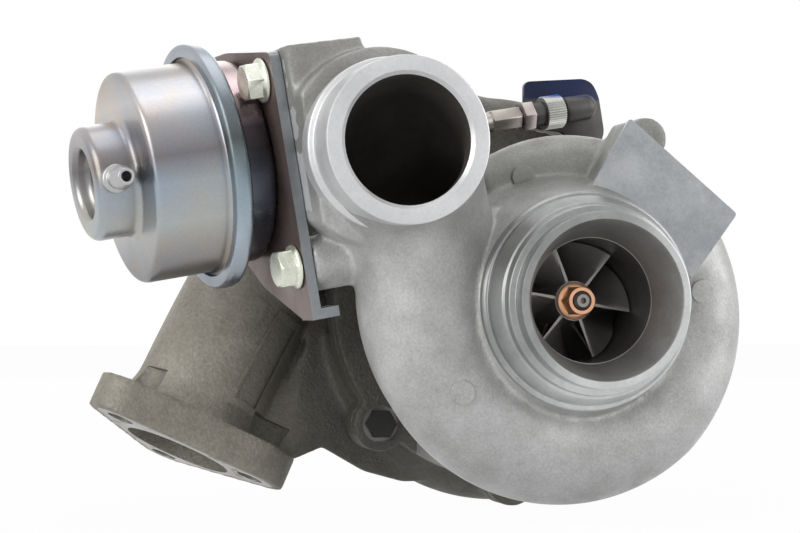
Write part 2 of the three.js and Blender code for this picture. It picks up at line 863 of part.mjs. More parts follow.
// The round lug behind the block, carried by a short web.
function coverLug() {
  const inwards = Math.atan2(-padBossZ, -padBossX) / degree;
  const outline = taperedBar(padBossRadius, padBossRadius, padBossLength, inwards);
  return slab(outline, -padBossReach, padBossLength - padBossReach).translate(padBossX, 0, padBossZ);
}

function backplate() {
  const rim = registerBore - seatGap;
  const grooveFloor = oRingCentre - oRingSection - seatGap;
  const grooveFront = oRingStation - oRingSection - seatGap;
  const grooveBack = oRingStation + oRingSection + seatGap;
  return turned([
    [backplateBore, backplateFront],
    [rim, backplateFront],
    [rim, grooveFront],
    [grooveFloor, grooveFront],
    [grooveFloor, grooveBack],
    [rim, grooveBack],
    [rim, backplateBack],
    [backplateHubRadius, backplateBack],
    [backplateHubRadius, backplateHubBack],
    [backplateBore, backplateHubBack],
  ], innerSides);
}

// A ring of round section about the shaft.
function roundRing(centre, section, station) {
  const points = Array.from({ length: ringSectionSides }, (_, k) => {
    const [r, y] = polar(section, (wholeTurn * k) / ringSectionSides);
    return [centre + r, station + y];
  });
  return turned(points, innerSides);
}

// A flat ring with a gap at the bottom.
function splitRing(inner, outer, front, back, opening, sides) {
  const whole = ring(inner, outer, front, back, sides);
  const below = -outer - cutOverrun;
  return cut(whole, box(-opening / 2, opening / 2, below, 0, front - cutOverrun, back + cutOverrun));
}

function snapRing() {
  const outer = registerBore + snapGrooveDepth - seatGap;
  const front = backplateBack + seatGap;
  return splitRing(snapRingInner, outer, front, front + snapRingThickness, snapRingOpening, innerSides);
}

// Bearing housing

const atBolt = (form, angle) => atPolar(form, housingBoltCircle, angle);
const housingEar = (angle, front, back) => atBolt(post(boltEarRadius, front, back), angle);

function bearingHousing() {
  const flangeFoot = turbineFlangeStation - housingSlope;
  const waistStart = housingFront + housingFrontThickness;
  const body = turned([
    [0, housingFront],
    [housingFrontRadius, housingFront],
    [housingFrontRadius, waistStart],
    [housingWaist, waistStart + housingSlope * half],
    [housingWaist, flangeFoot],
    [housingWaist + housingSlope, turbineFlangeStation],
    [turbineFlangeRadius, turbineFlangeStation],
    [turbineFlangeRadius, turbineFlangeBack],
    [0, turbineFlangeBack],
  ]);
  const inletHalf = oilInletPad / 2;
  const drainHalf = oilDrainPad / 2;
  const neckHalf = oilDrainBore + padPlateThickness * half;
  const footTop = padPlateThickness - oilDrainDrop;
  const about = (station, reach) => [station - reach, station + reach];
  const inletBoss = box(-inletHalf, inletHalf, 0, oilInletHeight, ...about(oilInletStation, inletHalf));
  const drainNeck = box(-neckHalf, neckHalf, footTop, 0, ...about(oilDrainStation, neckHalf));
  const footSide = oilDrainFoot / 2;
  const foot = box(-footSide, footSide, -oilDrainDrop, footTop, ...about(oilDrainStation, drainHalf));
  const up = vector(0, 0, 1);
  const feedHole = post(oilInletBore, bearingOuter * half, oilInletHeight + cutOverrun);
  const feed = aimed(feedHole, vector(0, oilInletStation, 0), up);
  const drainHole = post(oilDrainBore, 0, oilDrainDrop + cutOverrun);
  const drain = aimed(drainHole, vector(0, oilDrainStation, 0), reversed(up));
  const pinBore = post(holeFor(bearingPinRadius), bearingOuter * half, housingWaist + cutOverrun, screwSides);
  const pinHole = aimed(pinBore, vector(0, bearingPinStation, 0), reversed(up));
  const bore = turned([
    [0, housingFront - cutOverrun],
    [holeFor(thrustBearingRadius), housingFront - cutOverrun],
    [holeFor(thrustBearingRadius), thrustPocketBack],
    [bearingOuter + bearingFilm, thrustPocketBack],
    [bearingOuter + bearingFilm, sealBoreStation],
    [sealBore, sealBoreStation],
    [sealBore, turbineFlangeBack + cutOverrun],
    [0, turbineFlangeBack + cutOverrun],
  ]);
  const [before, behind] = [turbineFlangeStation - cutOverrun, turbineFlangeBack + cutOverrun];
  const bushHole = atPolar(post(holeFor(bushRadius), before, behind), crankCircle, crankAngle);
  const ears = housingBoltAngles.map((angle) => housingEar(angle, turbineFlangeStation, turbineFlangeBack));
  const boltHoles = housingBoltAngles.flatMap((angle) => [
    atBolt(post(boltRecessRadius, before, turbineFlangeStation + boltRecessDepth), angle),
    atBolt(post(holeFor(boltShankRadius), turbineFlangeStation, behind, screwSides), angle),
  ]);
  const casting = join(body, inletBoss, drainNeck, foot, ...ears);
  return cut(casting, bore, feed, drain, pinHole, bushHole, ...boltHoles);
}

const bearingPinStation = bearingBack - bearingLength * bearingPinShare;

function journalBearing() {
  const front = journalStart + 2 * seatGap;
  const sleeve = ring(journalRadius + bearingFilm, bearingOuter, front, front + bearingLength - 2 * seatGap);
  const down = vector(0, 0, -1);
  const hole = post(holeFor(bearingPinRadius), 0, bearingOuter + cutOverrun, screwSides);
  return cut(sleeve, aimed(hole, vector(0, bearingPinStation, 0), down));
}

function bearingPin() {
  const start = journalRadius + bearingFilm + seatGap;
  const pin = post(bearingPinRadius, start, housingWaist - seatGap, screwSides);
  return aimed(pin, vector(0, bearingPinStation, 0), vector(0, 0, -1));
}

// Sleeve behind the wheel, with the groove of the compressor-side seal ring and a throwing flange.
function oilFlinger() {
  const outer = backplateBore - 2 * seatGap;
  const grooveFloor = outer - sealRingSection;
  const grooveFront = backplateBack - sealRingSection - seatGap;
  return turned([
    [holeFor(shaftRadius), seatGap],
    [outer, seatGap],
    [outer, grooveFront],
    [grooveFloor, grooveFront],
    [grooveFloor, grooveFront + sealRingSection + 2 * seatGap],
    [outer, grooveFront + sealRingSection + 2 * seatGap],
    [outer, backplateHubBack + seatGap],
    [outer + sealRingSection, backplateHubBack + seatGap],
    [outer + sealRingSection, flingerFlangeBack],
    [holeFor(shaftRadius), flingerFlangeBack],
  ], partSides);
}

function compressorSealRing() {
  const inner = backplateBore - 2 * seatGap - sealRingSection + seatGap;
  const outer = backplateBore - seatGap * half;
  const front = backplateBack - sealRingSection;
  return splitRing(inner, outer, front, front + sealRingSection, seatGap * 2, innerSides);
}

function oilDeflector() {
  const inner = backplateBore - 2 * seatGap + sealRingSection + seatGap;
  const back = thrustBearingFront - seatGap;
  return ring(inner, thrustBearingRadius, back - deflectorThickness + seatGap, back, innerSides);
}

const thrustBearing = () =>
  ring(thrustNeck + seatGap, thrustBearingRadius, thrustBearingFront, thrustPocketBack - seatGap, innerSides);

function thrustCollar() {
  const bore = holeFor(shaftRadius);
  return turned([
    [bore, flingerFlangeBack + seatGap],
    [thrustNeck, flingerFlangeBack + seatGap],
    [thrustNeck, thrustPocketBack],
    [collarOuter, thrustPocketBack],
    [collarOuter, thrustPocketBack + collarFlangeThickness],
    [bore, thrustPocketBack + collarFlangeThickness],
  ], partSides);
}

// Turbine wheel welded to its shaft

const turbineTip = (share, gap = 0) =>
  meridian(
    1 - share,
    [turbineExducerRadius + gap, turbineBackStation + turbineLength - turbineDiscEdge],
    [turbineRadius + gap, shroudStation - bladeGap + gap],
    turbineStraightShare,
  );
const turbineRoot = (share, sink = 0) =>
  meridian(
    1 - share,
    [turbineHubRadius - sink, turbineBackStation + turbineLength],
    [turbineRadius - sink, turbineBackStation + turbineDiscEdge - sink],
    turbineStraightShare,
  );

function turbineRotor() {
  const grooveFloor = sealHubRadius - sealRingSection;
  const grooveFront = mid(sealHubFront, sealHubBack) - sealRingSection / 2 - seatGap;
  const grooveBack = grooveFront + sealRingSection + 2 * seatGap;
  const noseEnd = turbineBackStation + turbineLength + turbineNoseLength;
  const bladeAngle = (k) => (share) => (wholeTurn * k) / turbineBladeCount + turbineWrap * share * share;
  const root = (share) => turbineRoot(share, bladeRootDepth);
  const shaft = turned([
    [0, centreHoleDepth - shaftTipReach],
    [centreHoleRadius, centreHoleDepth - shaftTipReach],
    [centreHoleRadius, -shaftTipReach],
    [shaftRadius - nutChamfer, -shaftTipReach],
    [shaftRadius, nutChamfer - shaftTipReach],
    [shaftRadius, journalStart],
    [journalRadius, journalStart],
    [journalRadius, sealHubFront],
    [sealHubRadius, sealHubFront],
    [sealHubRadius, grooveFront],
    [grooveFloor, grooveFront],
    [grooveFloor, grooveBack],
    [sealHubRadius, grooveBack],
    [sealHubRadius, sealHubBack],
    [turbineHubRadius, sealHubBack],
    [turbineHubRadius, turbineBackStation],
    [turbineRadius, turbineBackStation],
    ...turbineSampleShares.map((share) => turbineRoot(share)),
    [turbineHubRadius * half, noseEnd],
    [0, noseEnd],
  ], wheelSides);
  const blades = Array.from({ length: turbineBladeCount }, (_, k) =>
    blade(0, turbineBladeSteps, root, turbineTip, bladeAngle(k), turbineBladeThickness));
  return join(shaft, ...blades);
}

function turbineSealRing() {
  const front = mid(sealHubFront, sealHubBack) - sealRingSection / 2;
  const inner = sealHubRadius - sealRingSection + seatGap;
  return splitRing(inner, sealBore - seatGap * half, front, front + sealRingSection, seatGap * 2, partSides);
}

function heatShield() {
  const outer = nozzleInner - seatGap;
  const floorBack = nozzleBack - turbineDiscEdge;
  return turned([
    [turbineHubRadius + shieldBoreGap, floorBack - shieldThickness],
    [outer - shieldThickness, floorBack - shieldThickness],
    [outer - shieldThickness, turbineHousingFront],
    [outer + shieldFlange, turbineHousingFront],
    [outer + shieldFlange, turbineHousingFront + shieldThickness],
    [outer, turbineHousingFront + shieldThickness],
    [outer, floorBack],
    [turbineHubRadius + shieldBoreGap, floorBack],
  ], innerSides);
}

// Vane mechanism

const vaneAngle = (k) => (wholeTurn / vaneCount) * k;
const spacerAngle = (k) => (wholeTurn / spacerCount) * k + wholeTurn / vaneCount / 2;

function nozzleRing() {
  const plate = ring(nozzleInner, nozzleBore - seatGap, nozzleStation, nozzleBack, casingSides);
  const [front, back] = [nozzleStation - cutOverrun, nozzleBack + cutOverrun];
  const holes = Array.from({ length: vaneCount }, (_, k) =>
    atPolar(post(holeFor(vaneShaftRadius), front, back, screwSides), vanePivotRadius, vaneAngle(k)));
  const pinCircle = unisonInner - seatGap - guidePinRadius;
  const middle = mid(nozzleStation, nozzleBack);
  const spacerBack = shroudStation - seatGap;
  const pins = Array.from({ length: spacerCount }, (_, k) => [
    atPolar(post(spacerRadius, middle, spacerBack, pinSides), spacerCircle, spacerAngle(k)),
    atPolar(post(guidePinRadius, unisonStation, middle, pinSides), pinCircle, spacerAngle(k)),
  ]).flat();
  return cut(join(plate, ...pins), ...holes);
}

// A slot with round ends from one radius to another, at an angle.
function radialSlot(from, to, halfWidth, angle, front, back) {
  const outline = taperedBar(halfWidth, halfWidth, to - from, 0);
  return slab(outline, front, back).translate(from, 0, 0).rotateY(-angle * degree);
}

function unisonRing() {
  const plate = ring(unisonInner, unisonOuter, unisonStation, unisonBack, casingSides);
  const [front, back] = [unisonStation - cutOverrun, unisonBack + cutOverrun];
  const armHalf = holeFor(vaneArmTip);
  const armStart = unisonInner - armHalf;
  const armSlots = Array.from({ length: vaneCount }, (_, k) =>
    radialSlot(armStart, armStart + armSlotDepth, armHalf, vaneAngle(k), front, back));
  const crankHalf = holeFor(crankPinRadius);
  const [crankStart, crankEnd] = [crankSlotBottom + crankHalf, unisonOuter + crankHalf];
  const crankSlot = radialSlot(crankStart, crankEnd, crankHalf, crankAngle, front, back);
  return cut(plate, ...armSlots, crankSlot);
}

// A vane with its pivot and its arm, about the pivot, with the arm along X.
function vane() {
  const bladeFront = nozzleBack + seatGap;
  const nearReach = (vaneChord - vaneBodyRadius - vaneEdge) * vanePivotShare;
  const chord = taperedBar(vaneBodyRadius, vaneEdge, vaneChord - vaneBodyRadius - vaneEdge, -90 - vaneSet);
  const [noseX, noseZ] = polar(nearReach, 90 - vaneSet);
  return join(
    slab(chord, bladeFront, bladeFront + vaneWidth).translate(noseX, 0, noseZ),
    post(vaneShaftRadius, unisonStation, bladeFront + vaneWidth * half, pinSides),
    post(vaneArmHub, unisonStation, unisonBack, pinSides),
    box(0, vaneArmLength, -vaneArmNeck, vaneArmNeck, unisonStation, unisonBack),
    post(vaneArmTip, unisonStation, unisonBack, pinSides).translate(vaneArmLength, 0, 0),
  );
}

// Crank and lever, about the crank's axis, with the lever along X.

function crankShaft() {
  const outline = taperedBar(crankHubRadius, crankPinRadius, crankArmLength, crankArmAngle);
  const arm = slab(outline, crankArmFront, crankArmBack);
  const pinPost = post(crankPinRadius, unisonStation, mid(crankArmFront, crankArmBack), screwSides);
  const pin = atPolar(pinPost, crankArmLength, crankArmAngle);
  return join(
    post(crankShaftRadius, leverFront, turbineFlangeBack, partSides),
    post(crankNeckRadius, turbineFlangeBack - crankArmPlate, crankArmBack, screwSides),
    arm,
    pin,
  );
}

function crankLever() {
  const bar = slab(taperedBar(leverHubRadius, leverEndRadius, leverLength, 0), leverFront, leverBack);
  const slotHalf = holeFor(linkPinRadius);
  const reach = leverLength / Math.cos(halfSwing * degree);
  const [front, back] = [leverFront - cutOverrun, leverBack + cutOverrun];
  const slot = slab(taperedBar(slotHalf, slotHalf, reach - leverLength, 0), front, back);
  return cut(bar, slot.translate(leverLength, 0, 0), post(holeFor(crankShaftRadius), front, back));
}

const crankBush = () =>
  ring(holeFor(crankShaftRadius), bushRadius, turbineFlangeStation - bushReach, turbineFlangeBack);

// Turbine housing

const flangeNormal = vector(...inletFlangeNormal).normalize();
const inletFace = vector(inletFlangeX, inletFlangeY, inletFlangeZ);

// The inlet duct and then the scroll, narrowing clockwise as seen from the compressor inlet.
function scrollRoute() {
  const stopOnScroll = (angle) => {
    const onDuct = Math.max(0, angle - scrollShoulderAngle) / (scrollDuctAngle - scrollShoulderAngle);
    const onTail = Math.max(0, scrollShoulderAngle - angle) / (scrollShoulderAngle - scrollTailAngle);
    const radius = onDuct > 0
      ? lerp(scrollShoulderRadius, scrollDuctRadius, onDuct)
      : lerp(scrollShoulderRadius, scrollTailRadius, onTail ** 3);
    const reach = scrollInnerRadius + radius + scrollDuctShift * onDuct;
    const [x, z] = polar(reach, angle);
    const [outX, outZ] = polar(1, angle);
    const centre = vector(x, scrollFrontStation + radius, z);
    return stopAt(centre, vector(outZ, 0, -outX), vector(outX, 0, outZ), radius, scrollWall);
  };
  const entry = stopOnScroll(scrollDuctAngle);
  const ductLength = inletFace.distanceTo(entry.centre);
  const duct = new THREE.CubicBezierCurve3(
    inletFace,
    inletFace.clone().addScaledVector(flangeNormal, -ductLength * ductBendShare),
    entry.centre.clone().addScaledVector(entry.ahead, -ductLength * ductBendShare),
    entry.centre,
  );
  const stops = [];
  for (let i = 0; i < ductSteps; i++) {
    const share = i / ductSteps;
    stops.push(stopAt(duct.getPoint(share), duct.getTangent(share), entry.out, scrollDuctRadius, scrollWall));
  }
  for (let i = 0; i <= scrollSteps; i++) {
    stops.push(stopOnScroll(lerp(scrollDuctAngle, scrollTailAngle, i / scrollSteps)));
  }
  return stops;
}

// The inlet flange's own frame: Y points out of its face, X runs along its straight edge.
const flangeAlong = vector(-flangeNormal.z, 0, flangeNormal.x).normalize();
const flangeAcross = flangeAlong.clone().cross(flangeNormal);
const flangeFrame = new THREE.Matrix4().makeBasis(flangeAlong, flangeNormal, flangeAcross);
flangeFrame.setPosition(inletFace);

function inletFlange() {
  const foot = -inletFlangeDepth * flangeFootShare;
  const apex = foot + inletFlangeDepth - inletFlangeApex;
  const side = inletFlangeLength / 2 - inletFlangeCorner;
  const corner = foot + inletFlangeCorner;
  const shape = new THREE.Shape();
  const lean = Math.atan2(apex - corner, side);
  shape.absarc(-side, corner, inletFlangeCorner, quarterTurn + lean, halfTurn + quarterTurn);
  shape.absarc(side, corner, inletFlangeCorner, -quarterTurn, quarterTurn - lean);
  shape.absarc(0, apex, inletFlangeApex, quarterTurn - lean, quarterTurn + lean);
  return slab(shape, -inletFlangeThickness, 0);
}

// The three bolt holes, two along the straight edge and one at the far corner, in the flange's own frame.
function flangeBoltSpots() {
  const foot = -inletFlangeDepth * flangeFootShare;
  const side = inletFlangeLength / 2 - inletFlangeCorner;
  return [
    [-side, foot + inletFlangeCorner],
    [side, foot + inletFlangeCorner],
    [0, foot + inletFlangeDepth - inletFlangeApex],
  ];
}

function turbineHousing() {
  const route = scrollRoute();
  const neckEnd = outletPipeStation;
  const lipSlope = outletLipRadius - outletPipeRadius;
  const front = post(turbineFlangeRadius, turbineHousingFront, scrollFrontStation - seatGap, casingSides);
  const neck = turned([
    [0, scrollFrontStation - scrollWall],
    [shroudRadius, scrollFrontStation - scrollWall],
    [shroudRadius, scrollFrontStation + 2 * scrollShoulderRadius],
    [outletPipeRadius, scrollFrontStation + 2 * scrollShoulderRadius + lipSlope],
    [outletPipeRadius, neckEnd - outletLipLength - lipSlope],
    [outletLipRadius, neckEnd - outletLipLength],
    [outletLipRadius, neckEnd],
    [0, neckEnd],
  ]);
  const inner = turned([
    [0, turbineHousingFront - cutOverrun],
    [nozzleBore, turbineHousingFront - cutOverrun],
    [nozzleBore, nozzleBack],
    [throatRadius, nozzleBack],
    [throatRadius, shroudStation],
    ...turbineTipShares.map((share) => turbineTip(share, bladeGap)),
    [outletEndBore, neckEnd - outletLipLength],
    [outletEndBore, neckEnd + cutOverrun],
    [0, neckEnd + cutOverrun],
  ]);
  const [before, earBack] = [turbineHousingFront - cutOverrun, turbineHousingFront + boltEarDepth];
  const ears = housingBoltAngles.map((angle) => housingEar(angle, turbineHousingFront, earBack));
  const holeEnd = turbineHousingFront + boltHoleDepth;
  const holes = housingBoltAngles.map((angle) =>
    atBolt(post(holeFor(boltShankRadius), before, holeEnd, screwSides), angle));
  const pocketOutline = taperedBar(crankPocketRadius, crankPocketRadius, crankArmLength, crankAngle + 180);
  const pocket = slab(pocketOutline, before, crankArmBack + 2 * seatGap);
  const flangeHoles = flangeBoltSpots().map(([x, z]) => {
    const hole = post(inletFlangeHole, -inletFlangeThickness - cutOverrun, cutOverrun, screwSides);
    return hole.translate(x, 0, z).applyMatrix4(flangeFrame);
  });
  const duct = boreOf([beyond(route[0], -cutOverrun), ...route.slice(0, -1)]);
  return cut(
    join(front, neck, skinOf(route), inletFlange().applyMatrix4(flangeFrame), housingRib(), ...ears),
    inner,
    duct,
    pocket.translate(crankX, 0, crankZ),
    ...holes,
    ...flangeHoles,
  );
}

// The cast web between the inlet duct and the lower side of the scroll.
function housingRib() {
  const outline = shapeOf(ribReachShares.map((share, k) => polar(ribReach * share, ribAngles[k])));
  return slab(outline, ribStation - ribThickness / 2, ribStation + ribThickness / 2);
}

function housingBolt() {
  const headBack = turbineFlangeStation + boltRecessDepth - seatGap;
  const tip = turbineHousingFront + boltHoleDepth - seatGap;
  return join(
    slab(hexagon(boltHeadRadius * 2), headBack - boltHeadHeight, headBack),
    post(boltShankRadius, headBack - boltHeadHeight * half, tip, screwSides),
  );
}

// Actuator, in its own frame

const canFlangeRadius = rearCanRadius + canFlangeWidth;
const capRadius = rearCanRadius + capStep;
const crimpRadius = canFlangeRadius + crimpWall;
const crimpInner = canFlangeRadius - crimpLip;
const pistonRadius = rearCanRadius - pistonMargin;
const springRadius = pistonRadius - springMargin;
const rearFloorBack = bracketLeft + seatGap;
const rearFlange = rearFloorBack + rearCanLength;
const rearFlangeEnd = rearFlange + canWall;
const diaphragmStart = rearFlangeEnd + seatGap;
const diaphragmEnd = diaphragmStart + diaphragmThickness;
const capFlange = diaphragmEnd + seatGap;
const capFlangeEnd = capFlange + canWall;
const capFront = rearFloorBack + capLength;
const bossFront = capFront + bossLength;
const pistonFloor = rearFloorBack + canWall + pistonClearance;

function rearCan() {
  const inner = rearCanRadius - canWall;
  const can = turned([
    [rodHoleRadius, rearFloorBack],
    [rearCanRadius - rearCanRound, rearFloorBack],
    [rearCanRadius - rearCanRound * roundShare, rearFloorBack + rearCanRound * roundShare],
    [rearCanRadius, rearFloorBack + rearCanRound],
    [rearCanRadius, rearFlange],
    [canFlangeRadius, rearFlange],
    [canFlangeRadius, rearFlangeEnd],
    [inner, rearFlangeEnd],
    [inner, rearFloorBack + rearCanRound],
    [inner - rearCanRound * roundShare, rearFloorBack + canWall],
    [rodHoleRadius, rearFloorBack + canWall],
  ], canSides);
  const studs = [-1, 1].map((side) =>
    post(studRadius, bracketRight - studNutHeight - studRadius, rearFloorBack + canWall * half, screwSides)
      .translate(0, 0, side * studSpacing));
  return join(can, ...studs);
}

function capCan() {
  const inner = capRadius - canWall;
  const shoulder = capFront - capShoulder;
  const bossInner = bossRadius - canWall;
  const recessFloor = bossFront - bossRecessDepth;
  const can = turned([
    [0, recessFloor],
    [bossRecessRadius, recessFloor],
    [bossRecessRadius, bossFront],
    [bossRadius - canWall, bossFront],
    [bossRadius, bossFront - canWall],
    [bossRadius, capFront],
    [capRadius - capShoulder, capFront],
    [capRadius - capShoulder * roundShare, capFront - capShoulder * roundShare],
    [capRadius, shoulder],
    [capRadius, capFlangeEnd],
    [canFlangeRadius, capFlangeEnd],
    [canFlangeRadius, capFlange],
    [inner, capFlange],
    [inner, shoulder],
    [capRadius - capShoulder, capFront - canWall],
    [bossInner, capFront - canWall],
    [bossInner, recessFloor - canWall],
    [0, recessFloor - canWall],
  ], canSides);
  const hole = post(holeFor(nippleRadius - canWall * half), 0, bossRadius + cutOverrun, screwSides);
  return cut(can, aimed(hole, nipplePlace, nippleHeading));
}

const nipplePlace = vector(0, nippleStation, 0);
const nippleHeading = vector(-1, 0, 0);

function vacuumNipple() {
  const start = bossRadius - canWall - nippleRadius * half;
  const seat = bossRadius + seatGap;
  const neck = nippleRadius - canWall * half;
  const body = turned([
    [nippleBore, start],
    [neck, start],
    [neck, seat],
    [nippleCollar, seat],
    [nippleCollar, seat + nippleCollarLength],
    [nippleRadius, seat + nippleCollarLength],
    [nippleRadius, nippleReach - 2 * nippleRadius],
    [nippleRadius + nippleBarb, nippleReach - 2 * nippleRadius],
    [nippleRadius - nippleBarb, nippleReach],
    [nippleBore, nippleReach],
  ], partSides);
  return aimed(body, nipplePlace, nippleHeading);
}

function crimpRing() {
  const lip = canWall * half;
  const [front, back] = [rearFlange - seatGap, capFlangeEnd + seatGap];
  const groove = canFlangeRadius + seatGap;
  return turned([
    [crimpInner, front - lip],
    [crimpRadius - crimpRound, front - lip],
    [crimpRadius, front - lip + crimpRound],
    [crimpRadius, back + lip - crimpRound],
    [crimpRadius - crimpRound, back + lip],
    [crimpInner, back + lip],
    [crimpInner, back],
    [groove, back],
    [groove, front],
    [crimpInner, front],
  ], canSides);
}

function diaphragm() {
  const hole = holeFor(rodRadius);
  const outer = rearCanRadius - canWall - seatGap;
  const floor = pistonFloor - seatGap - diaphragmThickness;
  return turned([
    [hole, floor],
    [outer - rearCanRound, floor],
    [outer, floor + rearCanRound],
    [outer, diaphragmStart],
    [canFlangeRadius - seatGap, diaphragmStart],
    [canFlangeRadius - seatGap, diaphragmEnd],
    [outer - diaphragmThickness, diaphragmEnd],
    [outer - diaphragmThickness, floor + rearCanRound],
    [outer - rearCanRound, floor + diaphragmThickness],
    [hole, floor + diaphragmThickness],
  ], canSides);
}

const diaphragmPlate = () =>
  turned([
    [holeFor(rodRadius), pistonFloor],
    [pistonRadius, pistonFloor],
    [pistonRadius, pistonFloor + pistonHeight],
    [pistonRadius - canWall, pistonFloor + pistonHeight],
    [pistonRadius - canWall, pistonFloor + canWall],
    [holeFor(rodRadius), pistonFloor + canWall],
  ], canSides);

// A helix about Y for the return spring.
class SpringLine extends THREE.Curve {
  constructor(start, end) {
    super();
    this.start = start;
    this.end = end;
  }
  getPoint(share, target = new THREE.Vector3()) {
    const [x, z] = polar(springRadius, share * springTurns * wholeTurn);
    return target.set(x, lerp(this.start, this.end, share), z);
  }
}

function returnSpring() {
  const start = pistonFloor + canWall + springWire + seatGap;
  const end = capFront - canWall - springWire - seatGap;
  const corner = (k) => polar(springWire, (wholeTurn * k) / springSides);
  const section = shapeOf(Array.from({ length: springSides }, (_, k) => corner(k)));
  const options = { steps: springTurns * springSteps, extrudePath: new SpringLine(start, end) };
  return new THREE.ExtrudeGeometry(section, options);
}

function actuatorRod() {
  const hexBack = -rodHexStart;
  const hexFront = hexBack - rodHexLength;
  const tip = -rodTip;
  const rod = turned([
    [0, tip],
    [rodThreadRadius, tip],
    [rodThreadRadius, hexFront],
    [rodRadius, hexFront],
    [rodRadius, pistonFloor + pistonHeight * half],
    [0, pistonFloor + pistonHeight * half],
  ], screwSides);
  return join(rod, slab(hexagon(rodHexFlats), hexFront, hexBack));
}

const lockNutBack = -rodHexStart - rodHexLength - seatGap;
const adjusterBack = lockNutBack - lockNutLength - seatGap;
const knurlBack = adjusterBack - adjusterLength - seatGap;
const sleeveBack = knurlBack - knurlLength - seatGap;
const sleeveEnd = sleeveBack - sleeveLength;
const rodTip = -sleeveEnd - sleeveDome - seatGap;

function lockNut() {
  const front = lockNutBack - lockNutLength;
  const bore = post(holeFor(rodThreadRadius), front - cutOverrun, lockNutBack + cutOverrun, screwSides);
  return cut(slab(hexagon(lockNutFlats), front, lockNutBack), bore);
}

const adjusterSleeve = () =>
  ring(holeFor(rodThreadRadius), adjusterRadius, adjusterBack - adjusterLength, adjusterBack, screwSides);

function knurledRing() {
  const edges = 2 * knurlTeeth;
  const edge = (k) => polar(knurlRadius - (k % 2) * knurlDepth, (wholeTurn * k) / edges);
  const outline = shapeOf(Array.from({ length: edges }, (_, k) => edge(k)));
  const front = knurlBack - knurlLength;
  const bore = post(holeFor(rodThreadRadius), front - cutOverrun, knurlBack + cutOverrun, screwSides);
  return cut(slab(outline, front, knurlBack), bore);
}

// The plate that joins the rod to the lever: a flat plate, the sleeve welded to it, and its pin.
function linkPlate() {
  const corners = linkAcrossShares.map((share, k) => [
    linkLeft + linkWidth * share,
    linkFoot + linkHeight * linkUpShares[k],
  ]);
  const plate = slab(shapeOf(corners), linkPlateStation, linkPlateBack);
  const sleeve = turned([
    [0, sleeveEnd],
    [sleeveRadius * half, sleeveEnd + seatGap],
    [sleeveRadius, sleeveEnd + sleeveDome],
    [sleeveRadius, sleeveBack],
    [0, sleeveBack],
  ], partSides).applyMatrix4(actuatorFrame);
  const bore = post(holeFor(rodThreadRadius), -rodTip - seatGap, sleeveBack + cutOverrun, partSides);
  const saddleMiddle = vector(0, mid(sleeveBack, sleeveEnd), 0).applyMatrix4(actuatorFrame);
  const saddleHalf = sleeveLength * saddleShare;
  const saddle = box(
    saddleMiddle.x - saddleHalf,
    saddleMiddle.x + saddleHalf,
    saddleMiddle.z - sleeveRadius * half,
    saddleMiddle.z + sleeveRadius * half,
    saddleMiddle.y + sleeveRadius * saddleDepthShare,
    linkPlateStation + linkPlateThickness * half,
  );
  const pinEnd = leverBack + clipRoom + clipThickness + seatGap;
  const pin = post(linkPinRadius, linkPlateStation, pinEnd).translate(linkPinX, 0, linkPinZ);
  const grooveFront = leverBack + clipRoom - seatGap;
  const grooveBack = leverBack + clipRoom + clipThickness + seatGap * half;
  const clipGroove = ring(linkPinRadius * half, linkPinRadius * 2, grooveFront, grooveBack);
  return cut(
    join(plate, sleeve, saddle, pin),
    bore.applyMatrix4(actuatorFrame),
    clipGroove.translate(linkPinX, 0, linkPinZ),
  );
}

// A flat clip with an open side, in the groove of the link pin.
function linkClip() {
  const front = leverBack + clipRoom;
  const washer = ring(linkPinRadius * half + seatGap, clipRadius, front, front + clipThickness * clipShare);
  const side = clipOpening / 2;
  const opening = box(-side, side, 0, clipRadius + cutOverrun, front - cutOverrun, front + cutOverrun);
  return cut(washer.translate(linkPinX, 0, linkPinZ), opening.translate(linkPinX, 0, linkPinZ));
}

// Bracket between the cover and the rear can

function actuatorBracket() {
  const outline = shapeOf([
    [-bracketNear, -bracketBottom],
    [-bracketNear * bracketLowShare, -bracketBottom],
    [0, bracketBottomRise - bracketBottom],
    [bracketFar - bracketFarCut * half, bracketBottomRise + bracketFarCut - bracketBottom],
    [bracketFar, bracketFarCut * 2 - bracketBottom + bracketBottomRise],
    [bracketFar, bracketTop - bracketFarCut * half],
    [bracketFar - bracketFarCut * half, bracketTop],
    [bracketFar - bracketFarCut, bracketTop + bracketTopRise],
    [0, bracketTop + bracketTopRise],
    [-bracketNear, bracketTop],
  ]);
  const plate = slab(outline, bracketRight, bracketLeft);
  const foot = box(
    -bracketNear,
    bracketFootWidth - bracketNear,
    -bracketBottom,
    bracketThickness - bracketBottom,
    bracketRight - bracketFootLength,
    bracketLeft,
  );
  const through = [bracketRight - cutOverrun, bracketLeft + cutOverrun];
  const hole = (radius, x, z) => post(radius, ...through, screwSides).translate(x, 0, z);
  return cut(
    join(plate, foot),
    hole(rodHoleRadius, 0, 0),
    hole(holeFor(studRadius), 0, studSpacing),
    hole(holeFor(studRadius), 0, -studSpacing),
    hole(holeFor(bracketBoltShank), upperBoltAcross, upperBoltUp),
    hole(holeFor(bracketBoltShank), lowerBoltAcross, lowerBoltUp),
  );
}

function bracketBolt() {
  const seat = bracketLeft + seatGap;
  return join(
    post(bracketBoltFlange, seat, seat + bracketBoltFlangeThickness, partSides),
    slab(hexagon(bracketBoltFlats), seat, seat + bracketBoltHead),
    post(bracketBoltShank, bracketRight - bracketBoltDepth, seat + bracketBoltHead * half, screwSides),
  );
}

function actuatorNut() {
  const seat = bracketRight - seatGap;
  const front = seat - studNutHeight;
  const bore = post(holeFor(studRadius), front - cutOverrun, seat + cutOverrun, screwSides);
  return cut(slab(hexagon(studNutFlats), front, seat), bore);
}

// Assembly

